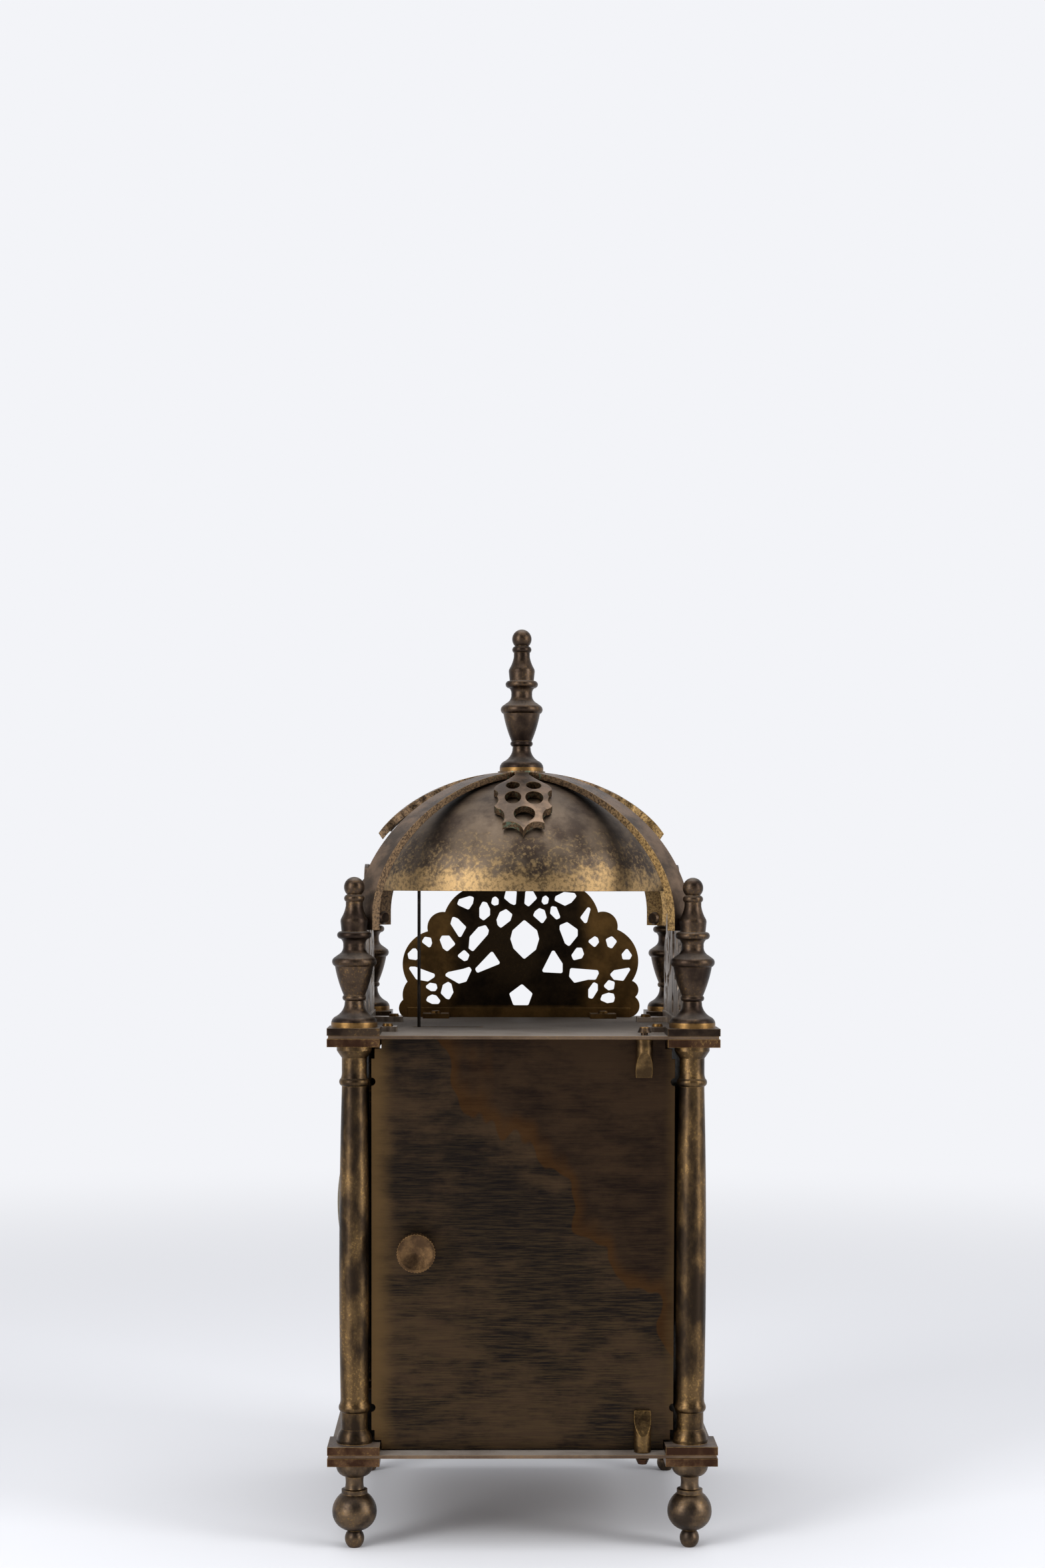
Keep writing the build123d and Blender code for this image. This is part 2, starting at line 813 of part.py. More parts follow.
with BuildPart() as back_door:
    extrude(door_outline(door_plane(door_outer), half), amount=door_thickness)
    spindle_hole = disc(knob_spindle_r + pivot_play, knob_x, door_outer, knob_height)
    extrude(spindle_hole, amount=door_thickness, mode=Mode.SUBTRACT)
back_door.part.label = "back_door"
export_step(back_door.part, "parts/back_door.step")

upper_peg_top = roof_bottom - peg_end_gap
upper_peg_bottom = upper_peg_top - upper_peg_length
lower_peg_bottom = floor_top + peg_end_gap
lower_peg_top = lower_peg_bottom + lower_peg_length
with BuildPart() as hinge_pegs:
    for start, length in ((upper_peg_bottom, upper_peg_length), (lower_peg_bottom, lower_peg_length)):
        extrude(level_disc(peg_r, hinge_x, hinge_y, start), amount=length)
        seat = level_block(3 * peg_r, 2 * peg_r, hinge_x, door_outer - peg_r, start)
        extrude(seat, amount=length, mode=Mode.SUBTRACT)
    for end, sense in ((upper_peg_top, -1), (lower_peg_bottom, 1)):
        bore = level_disc(pivot_r + pivot_play, hinge_x, hinge_y, end)
        extrude(bore, amount=sense * pivot_reach, mode=Mode.SUBTRACT)
    for tip, thick in (
        (upper_peg_bottom, upper_peg_top - peg_bevel_start),
        (lower_peg_top, lower_peg_bottom + lower_peg_bevel_start),
    ):
        with BuildSketch(Plane(origin=(hinge_x, 0, 0), x_dir=(0, 1, 0), z_dir=(1, 0, 0))) as bevel:
            Polygon(
                (hinge_y + peg_r + 1, thick),
                (hinge_y + peg_r, thick),
                (hinge_y - 1.2, tip),
                (hinge_y + peg_r + 1, tip),
                align=None,
            )
        extrude(bevel.sketch, amount=2 * peg_r, both=True, mode=Mode.SUBTRACT)
hinge_pegs.part.label = "hinge_pegs"
export_step(hinge_pegs.part, "parts/hinge_pegs.step")

with BuildPart() as hinge_screws:
    for face_height, sense in ((roof_top, 1), (foot_top, -1)):
        head_seat = face_height + sense * pivot_head_lift
        head = level_disc(pivot_head_r, hinge_x, hinge_y, head_seat)
        extrude(head, amount=sense * pivot_head_height, taper=24)
        shank_length = pivot_head_lift + plate_thickness + peg_end_gap + pivot_reach - 0.6
        extrude(level_disc(pivot_r, hinge_x, hinge_y, head_seat), amount=-sense * shank_length)
hinge_screws.part.label = "hinge_screws"
export_step(hinge_screws.part, "parts/hinge_screws.step")

# Knurled knob of the back door on its spindle, with the latch tongue on the inner end
knob_inner = door_outer + knob_stand
with BuildPart() as back_knob:
    spindle_length = knob_stand + door_thickness + latch_depth
    extrude(disc(knob_spindle_r, knob_x, knob_inner, knob_height), amount=spindle_length)
    with BuildSketch(facing(knob_x, knob_inner + knob_thickness, knob_height)) as knob_face:
        Circle(knob_r)
        with PolarLocations(knob_r, knob_knurls):
            Circle(0.28, mode=Mode.SUBTRACT)
    extrude(knob_face.sketch, amount=knob_thickness)
    with BuildSketch(facing(knob_x, knob_inner, knob_height)) as collar:
        Circle(knob_r * 0.45)
    extrude(collar.sketch, amount=knob_stand - 0.4)
    dish = [(0.01, -1.4), (knob_r * 0.86, 0), (knob_r * 0.86, 0.5)]
    with BuildSketch(level(knob_x, knob_inner + knob_thickness, knob_height)) as dish_face:
        with BuildLine():
            Polyline((0, 0.5), *[(r, d) for r, d in reversed(dish)], (0, -1.4), close=True)
        make_face()
    dish_axis = Axis((knob_x, 0, knob_height), (0, 1, 0))
    revolve(dish_face.sketch, axis=dish_axis, mode=Mode.SUBTRACT)
back_knob.part.label = "back_knob"
export_step(back_knob.part, "parts/back_knob.step")

latch_y = door_inner - latch_depth + latch_thickness
with BuildPart() as back_latch:
    with BuildSketch(facing(knob_x, latch_y, knob_height)) as latch_face:
        with Locations((0, -latch_reach / 2)):
            Rectangle(latch_width, latch_reach)
        Circle(latch_width * 0.8)
        Circle(knob_spindle_r, mode=Mode.SUBTRACT)
    extrude(latch_face.sketch, amount=latch_thickness)
back_latch.part.label = "back_latch"
export_step(back_latch.part, "parts/back_latch.step")

# Side doors, each in one piece with its hinge pegs and pins
for side_name, side in (("left", -1), ("right", 1)):
    sheet_plane = Plane(origin=(side * door_inner, 0, floor_top), x_dir=(0, 1, 0), z_dir=(1, 0, 0))
    with BuildPart() as side_door:
        extrude(door_outline(sheet_plane, half), amount=side * door_thickness)
        peg_x = side * side_hinge_x
        for end, sense in ((floor_top + peg_end_gap, 1), (roof_bottom - peg_end_gap, -1)):
            extrude(level_disc(side_peg_r, peg_x, side_hinge_y, end), amount=sense * side_peg_length)
            pin_length = peg_end_gap + plate_thickness
            extrude(level_disc(side_pin_r, peg_x, side_hinge_y, end), amount=-sense * pin_length)
            web = level_block(side_peg_r, 2 * side_peg_r, peg_x - side * side_peg_r / 2, side_hinge_y, end)
            extrude(web, amount=sense * side_peg_length)
    side_door.part.label = f"{side_name}_side_door"
    export_step(side_door.part, f"parts/{side_name}_side_door.step")
    with BuildPart() as side_knob:
        start = Plane(
            origin=(side * door_outer, side_knob_y, knob_height),
            x_dir=(0, 1, 0),
            z_dir=(0, 0, side),
        )
        with BuildSketch(start) as knob_section:
            with BuildLine():
                Line((0, 0), (side_knob_neck_r, 0))
                ThreePointArc((side_knob_neck_r, 0), (side_knob_waist_r, -1.6), (side_knob_neck_r, -3.0))
                ThreePointArc(
                    (side_knob_neck_r, -3.0),
                    (side_knob_r, -side_knob_length * 0.68),
                    (side_knob_neck_r, -side_knob_length),
                )
                Line((side_knob_neck_r, -side_knob_length), (0, -side_knob_length))
                Line((0, -side_knob_length), (0, 0))
            make_face()
        revolve(knob_section.sketch, axis=Axis((0, side_knob_y, knob_height), (1, 0, 0)))
    side_knob.part.label = f"{side_name}_door_knob"
    export_step(side_knob.part, f"parts/{side_name}_door_knob.step")

# Wheel work: centres on the frame, in X and height
def bearing_point(x, z, distance, degrees):
    """Point at a distance and a direction from x, z, counted from +X towards +Z."""
    turn = math.radians(degrees)
    return x + distance * math.cos(turn), z + distance * math.sin(turn)


def centre_distance(teeth, leaves, module):
    """Distance between the arbors of a wheel and the pinion it meets."""
    return (teeth + leaves) * module / 2


def direction(start, end):
    """Direction from one arbor to another, in radians."""
    return math.atan2(end[1] - start[1], end[0] - start[0])


def mesh_phase(phase, at, teeth, mate_at, mate_teeth):
    """Angle of one tooth of the mate, so that its gap meets a tooth of the wheel."""
    towards = direction(at, mate_at)
    share = (phase - towards) / (2 * math.pi / teeth)
    return towards + math.pi + (0.5 - share) * 2 * math.pi / mate_teeth


centre_at = (0.0, dial_height)
barrel_distance = centre_distance(barrel_teeth, centre_pinion_leaves, barrel_module)
barrel_at = bearing_point(*centre_at, barrel_distance, barrel_bearing)
third_distance = centre_distance(centre_teeth, third_pinion_leaves, centre_module)
third_at = (third_arbor_x, dial_height + math.sqrt(third_distance**2 - third_arbor_x**2))
escape_distance = centre_distance(third_teeth, escape_pinion_leaves, third_module)
escape_at = (0.0, third_at[1] + math.sqrt(escape_distance**2 - third_arbor_x**2))
motion_distance = centre_distance(minute_teeth, cannon_leaves, minute_module)
hour_module = 2 * motion_distance / (hour_teeth + minute_pinion_leaves)
minute_at = bearing_point(*centre_at, motion_distance, minute_bearing)
strike_at = (strike_x, strike_z)
pin_distance = centre_distance(strike_teeth, pin_pinion_leaves, strike_module)
pin_at = bearing_point(*strike_at, pin_distance, pin_bearing)
fly_distance = centre_distance(pin_teeth, fly_leaves, pin_module)
fly_at = bearing_point(*pin_at, fly_distance, fly_bearing)
hammer_at = (hammer_x, hammer_pivot_height)
pallet_at = (0.0, pallet_height)
drum_points = [barrel_at, strike_at]

# Dial plate, held by tabs in slots of the case plates
dial_plate_rear = dial_plate_front + dial_plate_thickness
chapter_feet = [(sx * chapter_foot_circle_r / math.sqrt(2), sz * chapter_foot_circle_r / math.sqrt(2))
                for sx in (-1, 1) for sz in (-1, 1)]
with BuildPart() as dial_plate:
    extrude(door_outline(door_plane(dial_plate_rear), half), amount=dial_plate_thickness)
    for tab_x in (-dial_tab_x, dial_tab_x):
        for end in (floor_top, roof_bottom):
            tab_height = 2 * (plate_thickness - tab_play)
            tab = upright_block(dial_tab_width, tab_height, tab_x, dial_plate_rear, end)
            extrude(tab, amount=dial_plate_thickness)
    hour_hole = disc(hour_hole_r, 0, dial_plate_rear, dial_height)
    extrude(hour_hole, amount=dial_plate_thickness, mode=Mode.SUBTRACT)
    for x, z in drum_points:
        winding_hole = disc(winding_hole_r, x, dial_plate_rear, z)
        extrude(winding_hole, amount=dial_plate_thickness, mode=Mode.SUBTRACT)
    for foot_x, foot_z in chapter_feet:
        foot_hole = disc(chapter_foot_r + stud_play, foot_x, dial_plate_rear, dial_height + foot_z)
        extrude(foot_hole, amount=dial_plate_thickness, mode=Mode.SUBTRACT)
dial_plate.part.label = "dial_plate"
export_step(dial_plate.part, "parts/dial_plate.step")

# Numeral strokes: each is its place across, its lean in degrees and whether it is thick
numeral_bars = {
    "I": [(0, 0, True)],
    "V": [(-1.7, -14, True), (1.7, 14, False)],
    "X": [(0, -24, True), (0, 24, False)],
}
numeral_widths = {"I": 3.0, "V": 7.4, "X": 7.6}
numerals = ["XII", "I", "II", "III", "IV", "V", "VI", "VII", "VIII", "IX", "X", "XI"]
numeral_centre_r = (chapter_outer_r - minute_track_width + chapter_inner_r) / 2


def draw_numeral(word, turn):
    """Strokes of one numeral, standing with its foot towards the dial's centre."""
    place = -sum(numeral_widths[letter] for letter in word) / 2
    for letter in word:
        middle = place + numeral_widths[letter] / 2
        place += numeral_widths[letter]
        for across, lean, thick in numeral_bars[letter]:
            stroke = numeral_stroke if thick else numeral_thin_stroke
            with Locations(Location((0, 0, 0), (0, 0, -turn))):
                with Locations((middle + across, numeral_centre_r)):
                    Rectangle(stroke, numeral_height, rotation=lean)


def engraving_face(y):
    """Numerals, minute marks and the three circles that are cut into the chapter ring."""
    track_outer = chapter_outer_r - ring_line_inset
    track_inner = chapter_outer_r - minute_track_width
    mark_middle_r = (track_outer + track_inner - ring_line_width) / 2
    with BuildSketch(facing(0, y, dial_height)) as face:
        for outer in (track_outer, track_inner, chapter_inner_r + 2 * ring_line_inset):
            Circle(outer)
            Circle(outer - ring_line_width, mode=Mode.SUBTRACT)
        with PolarLocations(mark_middle_r, 60):
            Rectangle(track_outer - track_inner, minute_mark_width)
        for index, word in enumerate(numerals):
            draw_numeral(word, 30 * index)
    return face.sketch


with BuildPart() as chapter_ring:
    chapter_back = chapter_front + chapter_thickness
    extrude(ring(chapter_outer_r, chapter_inner_r, 0, chapter_back, dial_height), amount=chapter_thickness)
    extrude(engraving_face(chapter_front + engraving_depth), amount=2 * engraving_depth, mode=Mode.SUBTRACT)
    foot_end = dial_plate_rear + chapter_foot_through
    for foot_x, foot_z in chapter_feet:
        foot_face = disc(chapter_foot_r, foot_x, foot_end, dial_height + foot_z)
        extrude(foot_face, amount=foot_end - chapter_back)
chapter_ring.part.label = "chapter_ring"
export_step(chapter_ring.part, "parts/chapter_ring.step")

# Fret pattern as seen from inside the clock: corners of each hole, across and up from the foot's middle
fret_holes = [
    # middle of the fret
    [(2.5, 45.5), (8.5, 40.5), (9.5, 36.5), (8, 31.5), (2.5, 27), (-2.5, 32), (-4, 36.5), (-3, 40.5)],
    [(1.5, 15.5), (6.5, 11), (4.5, 5.5), (-2.5, 5.5), (-4.5, 11)],
    [(-6, 59.5), (-1, 59), (-1.5, 52), (-4, 53), (-7, 55.5)],
    [(3, 59), (6.5, 59), (8.5, 55.5), (4.5, 51.5), (2.5, 53)],
    [(-6, 50.5), (-3, 48), (-4, 45), (-8.5, 41.5), (-10, 43), (-10.5, 45.5), (-9, 49)],
    [(9.5, 51), (12, 50), (13, 46.5), (11, 43.5), (6.5, 47.5), (7.5, 49.5)],
    # left side
    [(-12.5, 31), (-8.5, 25), (-19.5, 20.5), (-20.5, 22.5)],
    [(-15.5, 43), (-14, 40.5), (-14.5, 38.5), (-21.5, 30.5), (-23.5, 32), (-23, 37.5), (-19, 42)],
    [(-31, 47), (-28.5, 46), (-24.5, 42), (-27.5, 36.5), (-32, 43.5)],
    [(-23, 56.5), (-21, 56), (-21.5, 53), (-23.5, 50), (-29, 52.5), (-28, 55)],
    [(-17, 54), (-15, 53.5), (-13.5, 50.5), (-13.5, 47.5), (-16.5, 45), (-18.5, 46.5), (-18.5, 51)],
    [(-11, 56.5), (-9.5, 55), (-9.5, 52.5), (-11.5, 52), (-13, 53), (-12.5, 55.5)],
    [(-44, 37.5), (-41, 37), (-40.5, 34.5), (-41.5, 32), (-45.5, 35)],
    [(-36, 38), (-32.5, 38), (-29.5, 34), (-33.5, 30.5), (-35.5, 32), (-37, 36)],
    [(-25.5, 31.5), (-23, 29), (-24, 26.5), (-25.5, 26), (-29, 28.5)],
    [(-49.5, 32), (-48, 32), (-46, 28), (-48, 26.5), (-51.5, 27), (-52, 29.5)],
    [(-52, 23.5), (-48.5, 23.5), (-39, 20), (-39.5, 18.5), (-42.5, 16.5), (-48, 17.5)],
    [(-23, 23.5), (-22, 22), (-24.5, 16.5), (-28, 15.5), (-35, 19.5), (-33, 21), (-26, 22.5)],
    [(-41.5, 16), (-38.5, 15.5), (-38, 13.5), (-39, 12), (-41, 12), (-44, 14)],
    [(-33, 16.5), (-31.5, 15.5), (-30.5, 11.5), (-32.5, 8), (-34, 8.5), (-36.5, 11), (-35.5, 15)],
    [(-40.5, 10.5), (-38.5, 10), (-36.5, 7.5), (-37.5, 6), (-40.5, 6), (-43.5, 7.5), (-42.5, 9.5)],
    # right side
    [(16, 32), (20.5, 25), (20.5, 20.5), (10.5, 21)],
    [(22.5, 44.5), (27.5, 41), (27.5, 38), (23.5, 33), (21.5, 34.5), (19, 41), (19, 43)],
    [(32.5, 52), (33.5, 50.5), (31.5, 43), (28.5, 46.5)],
    [(21, 58.5), (26, 58), (27, 56.5), (24.5, 53.5), (21.5, 52), (16.5, 54.5), (17, 56.5)],
    [(12.5, 57), (14, 55.5), (13.5, 53), (11.5, 52.5), (10.5, 54), (11, 56)],
    [(15, 52), (17.5, 51.5), (19.5, 46.5), (17.5, 45.5), (14.5, 48.5)],
    [(27, 32.5), (29.5, 32.5), (30.5, 29.5), (29.5, 27.5), (25.5, 26.5), (24.5, 29)],
    [(35.5, 38), (37, 37), (37.5, 35), (35.5, 32.5), (32, 35.5)],
    [(43.5, 38), (46, 35.5), (43.5, 32), (41.5, 33), (40.5, 36.5)],
    [(50.5, 32.5), (53, 29), (52, 27), (48.5, 27), (48, 29.5)],
    [(24, 23), (37, 22), (37.5, 20.5), (36, 17.5), (32.5, 17.5), (26, 16), (23.5, 19)],
    [(53, 23.5), (49, 17), (44.5, 17.5), (42.5, 20), (44.5, 22)],
    [(35, 16.5), (37, 15.5), (37, 12.5), (34.5, 8.5), (32.5, 9), (32.5, 13)],
    [(42, 17.5), (45, 16.5), (44.5, 13), (42, 12.5), (39.5, 14.5)],
    [(42, 11.5), (44.5, 11), (45, 9), (44.5, 7), (41.5, 6.5), (38, 8), (39, 10.5)],
]
# Start of the outline at the left foot, then its lobes, each by its middle and its end
fret_start = (-54, 0)
fret_lobes = [
    (-56, 4, -54, 8),
    (-54, 12.5, -52, 16.5),
    (-53.5, 29.5, -42.5, 40),
    (-41, 46.5, -34.5, 49),
    (-30.5, 55.5, -22.5, 60.5),
    (-18.5, 63.5, -13, 64),
    (-8, 69, 2, 70.5),
    (12, 69, 17.5, 64),
    (23, 63.5, 28, 60.5),
    (33.5, 56, 37, 49),
    (44, 47.5, 46, 41),
    (55.5, 29.5, 53, 17),
    (56, 13, 54.5, 9.5),
    (56.5, 4.5, 52, 0),
]


def fret_sheet(plane):
    """Scalloped outline of a fret on an upright plane whose origin is at the middle of its foot."""
    here = (-fret_start[0], fret_start[1])
    with BuildSketch(plane) as face:
        with BuildLine():
            for middle_x, middle_z, end_x, end_z in fret_lobes:
                ThreePointArc(here, (-middle_x, middle_z), (-end_x, end_z))
                here = (-end_x, end_z)
            Line(here, (-fret_start[0], fret_start[1]))
        make_face()
    return face.sketch


def fret_piercing(plane):
    """All the holes of a fret, filed round at their corners."""
    with BuildSketch(plane) as face:
        for corner_list in fret_holes:
            Polygon(*[(-x, z) for x, z in corner_list], align=None)
        fillet(face.vertices(), fret_corner_r)
    return face.sketch


def fret_strip(plane):
    """Thicker strip along the foot of a fret."""
    with BuildSketch(plane) as face:
        with Locations((0, fret_strip_height / 2)):
            Rectangle(fret_strip_length, fret_strip_height)
    return face.sketch


def fret_lug(x, y, along_x):
    """Foot of a fret, screwed down on the top plate."""
    if along_x:
        centre = x + math.copysign(fret_lug_length / 2 - 4.0, x)
        return level_block(fret_lug_length, fret_lug_width * 0.8, centre, y, roof_top)
    centre = y + math.copysign(fret_lug_length / 2 - 4.0, y)
    return level_block(fret_lug_width, fret_lug_length, x, centre, roof_top)


fret_planes = {
    "front": (facing(0, -fret_face, roof_top), fret_lugs[0:2]),
    "left": (Plane(origin=(-fret_face, 0, roof_top), x_dir=(0, -1, 0), z_dir=(-1, 0, 0)), fret_lugs[2:4]),
    "right": (Plane(origin=(fret_face, 0, roof_top), x_dir=(0, 1, 0), z_dir=(1, 0, 0)), fret_lugs[4:6]),
}
for side_name, (plane, lugs) in fret_planes.items():
    with BuildPart() as fret:
        extrude(fret_sheet(plane), amount=fret_thickness)
        extrude(fret_piercing(plane), amount=fret_thickness, mode=Mode.SUBTRACT)
        extrude(fret_strip(plane), amount=-fret_strip_proud)
        for x, y in lugs:
            extrude(fret_lug(x, y, side_name != "front"), amount=fret_lug_thickness)
            screw_hole = level_disc(fret_screw_r + stud_play, x, y, roof_top)
            extrude(screw_hole, amount=fret_lug_thickness, mode=Mode.SUBTRACT)
    fret.part.label = f"{side_name}_fret"
    export_step(fret.part, f"parts/{side_name}_fret.step")

with BuildPart() as fret_screws:
    for x, y in fret_lugs:
        head = level_disc(fret_screw_head_r, x, y, roof_top + fret_lug_thickness)
        extrude(head, amount=fret_screw_head_height, taper=20)
        shank = level_disc(fret_screw_r, x, y, roof_top + fret_lug_thickness)
        extrude(shank, amount=-fret_lug_thickness - plate_thickness)
fret_screws.part.label = "fret_screws"
export_step(fret_screws.part, "parts/fret_screws.step")


def toothed_face(teeth, module, phase, x, y, z, bore=0.0):
    """Toothed wheel or pinion outline that faces the dial side."""
    pitch = 2 * math.pi / teeth
    root_r = module * (teeth / 2 - tooth_dedendum)
    tip_r = module * (teeth / 2 + tooth_addendum)
    points = []
    for tooth in range(teeth):
        middle = phase + tooth * pitch
        for radius, offset in (
            (root_r, -tooth_root_share / 2),
            (tip_r, -tooth_tip_share / 2),
            (tip_r, tooth_tip_share / 2),
            (root_r, tooth_root_share / 2),
        ):
            turn = middle + offset * pitch
            points.append((radius * math.cos(turn), radius * math.sin(turn)))
    with BuildSketch(facing(x, y, z)) as face:
        with BuildLine():
            Polyline(*points, close=True)
        make_face()
        if bore > 0:
            Circle(bore, mode=Mode.SUBTRACT)
    return face.sketch


def crossings_face(outer_r, x, y, z):
    """Openings between the spokes of a wheel."""
    with BuildSketch(facing(x, y, z)) as face:
        Circle(outer_r)
        Circle(hub_r + 1.0, mode=Mode.SUBTRACT)
        with PolarLocations(0, spoke_count):
            Rectangle(2 * outer_r, spoke_width, mode=Mode.SUBTRACT)
    return face.sketch


def rod(radius, x, z, y_rear, y_front):
    """Round bar along Y, from its rear end to its front end."""
    extrude(disc(radius, x, y_rear, z), amount=y_rear - y_front)


frame_inner_front = frame_front + frame_plate_thickness
frame_inner_rear = frame_rear - frame_plate_thickness


def pivoted_arbor(x, z):
    """Arbor between the frame plates, with a thinner pivot in each of them."""
    rod(arbor_r, x, z, frame_inner_rear - arbor_shoulder_gap, frame_inner_front + arbor_shoulder_gap)
    rod(arbor_pivot_r, x, z, frame_rear, frame_front)


# Tooth phases that bring every pair into mesh at rest
barrel_phase = direction(barrel_at, centre_at)
centre_pinion_phase = mesh_phase(barrel_phase, barrel_at, barrel_teeth, centre_at, centre_pinion_leaves)
centre_phase = direction(centre_at, third_at)
third_pinion_phase = mesh_phase(centre_phase, centre_at, centre_teeth, third_at, third_pinion_leaves)
third_phase = direction(third_at, escape_at)
escape_pinion_phase = mesh_phase(third_phase, third_at, third_teeth, escape_at, escape_pinion_leaves)
cannon_phase = direction(centre_at, minute_at)
minute_phase = mesh_phase(cannon_phase, centre_at, cannon_leaves, minute_at, minute_teeth)
minute_pinion_phase = direction(minute_at, centre_at)
hour_phase = mesh_phase(minute_pinion_phase, minute_at, minute_pinion_leaves, centre_at, hour_teeth)
strike_phase = direction(strike_at, pin_at)
pin_pinion_phase = mesh_phase(strike_phase, strike_at, strike_teeth, pin_at, pin_pinion_leaves)
pin_phase = direction(pin_at, fly_at)
fly_pinion_phase = mesh_phase(pin_phase, pin_at, pin_teeth, fly_at, fly_leaves)

pivot_points = [third_at, escape_at, pin_at, fly_at, hammer_at]
pillar_points = [
    (-pillar_x, pillar_low),
    (pillar_x, pillar_low),
    (-pillar_x, pillar_high),
    (upper_right_pillar_x, pillar_high),
]


def frame_plate(y_rear):
    """Movement plate on two legs, drilled for the arbors and the pillars."""
    with BuildPart() as plate:
        with BuildSketch(facing(0, y_rear, 0)) as outline:
            with Locations((0, (frame_bottom + frame_top) / 2)):
                Rectangle(2 * frame_half_width, frame_top - frame_bottom)
            for side in (-1, 1):
                with Locations((side * leg_x, (floor_top + frame_bottom) / 2)):
                    Rectangle(frame_leg_width, frame_bottom - floor_top)
        extrude(outline.sketch, amount=frame_plate_thickness)
        for radius, points in (
            (arbor_pivot_r + arbor_play, pivot_points + [centre_at]),
            (barrel_arbor_r + arbor_play, drum_points),
            (pillar_stud_r + stud_play, pillar_points),
        ):
            for x, z in points:
                extrude(disc(radius, x, y_rear, z), amount=frame_plate_thickness, mode=Mode.SUBTRACT)
    return plate.part


with BuildPart() as front_frame_plate:
    add(frame_plate(frame_inner_front))
    for radius, (x, z) in ((arbor_r, centre_at), (arbor_pivot_r, pallet_at)):
        bearing = disc(radius + arbor_play, x, frame_inner_front, z)
        extrude(bearing, amount=frame_plate_thickness, mode=Mode.SUBTRACT)
    rod(minute_post_r, minute_at[0], minute_at[1], frame_inner_front, frame_front - minute_post_length)
front_frame_plate.part.label = "front_frame_plate"
export_step(front_frame_plate.part, "parts/front_frame_plate.step")

with BuildPart() as rear_frame_plate:
    add(frame_plate(frame_rear))
    arbor_passage = disc(3 * arbor_r, pallet_at[0], frame_rear, pallet_at[1])
    extrude(arbor_passage, amount=frame_plate_thickness, mode=Mode.SUBTRACT)
    hammer_bearing = disc(arbor_r + arbor_play, hammer_at[0], frame_rear, hammer_at[1])
    extrude(hammer_bearing, amount=frame_plate_thickness, mode=Mode.SUBTRACT)
    for side in (-1, 1):
        screw_hole = disc(bracket_screw_r + stud_play, side * cock_foot_x, frame_rear, pallet_height)
        extrude(screw_hole, amount=frame_plate_thickness, mode=Mode.SUBTRACT)
rear_frame_plate.part.label = "rear_frame_plate"
export_step(rear_frame_plate.part, "parts/rear_frame_plate.step")

with BuildPart() as frame_pillars:
    for x, z in pillar_points:
        rod(pillar_r, x, z, frame_inner_rear, frame_inner_front)
        rod(pillar_stud_r, x, z, frame_rear + pillar_stud_reach, frame_front - pillar_stud_reach)
frame_pillars.part.label = "frame_pillars"
export_step(frame_pillars.part, "parts/frame_pillars.step")

with BuildPart() as pillar_nuts:
    for x, z in pillar_points:
        for nut_rear in (frame_rear + pillar_nut_height, frame_front):
            with BuildSketch(facing(x, nut_rear, z)) as nut_face:
                RegularPolygon(pillar_nut_r, 6)
                Circle(pillar_stud_r + stud_play, mode=Mode.SUBTRACT)
            extrude(nut_face.sketch, amount=pillar_nut_height)
pillar_nuts.part.label = "pillar_nuts"
export_step(pillar_nuts.part, "parts/pillar_nuts.step")

# Angle brackets that hold the frame's legs to the bottom plate
bracket_width = frame_leg_width - 2.0
with BuildPart() as frame_brackets:
    for x, y in bracket_holes:
        wall_y = bracket_front_y if y < (frame_front + frame_rear) / 2 else bracket_rear_y
        sense = 1 if y > wall_y else -1
        foot_y = wall_y + sense * (bracket_flange + 1) / 2
        foot = level_block(bracket_width, bracket_flange + 1, x, foot_y, floor_top)
        extrude(foot, amount=bracket_thickness)
        upright_y = wall_y + sense * bracket_thickness / 2
        upright = level_block(bracket_width, bracket_thickness, x, upright_y, floor_top)
        extrude(upright, amount=bracket_flange + 3)
        hole = level_disc(bracket_screw_r + stud_play, x, y, floor_top)
        extrude(hole, amount=bracket_thickness, mode=Mode.SUBTRACT)
frame_brackets.part.label = "frame_brackets"
export_step(frame_brackets.part, "parts/frame_brackets.step")

with BuildPart() as bracket_screws:
    for x, y in bracket_holes:
        seat = floor_top + bracket_thickness
        head = level_disc(bracket_screw_head_r, x, y, seat)
        extrude(head, amount=bracket_screw_head_height, taper=20)
        extrude(level_disc(bracket_screw_r, x, y, seat), amount=-bracket_thickness - plate_thickness)
bracket_screws.part.label = "bracket_screws"
export_step(bracket_screws.part, "parts/bracket_screws.step")


# Spring barrels with their great wheels, winding arbors and ratchets
def spring_barrel(at, teeth, module, phase, drum_r):
    """Great wheel with the drum on its front side, bored for the winding arbor."""
    x, z = at
    bore = barrel_arbor_r + arbor_play
    with BuildPart() as barrel:
        extrude(toothed_face(teeth, module, phase, x, barrel_wheel_y, z, bore), amount=wheel_thickness)
        drum_rear = barrel_wheel_y - wheel_thickness
        extrude(ring(drum_r, bore, x, drum_rear, z), amount=barrel_drum_length)
        hollow = ring(drum_r - 1.2, barrel_arbor_r + 3.0, x, drum_rear - 1.2, z)
        extrude(hollow, amount=barrel_drum_length - 2.4, mode=Mode.SUBTRACT)
    return barrel.part


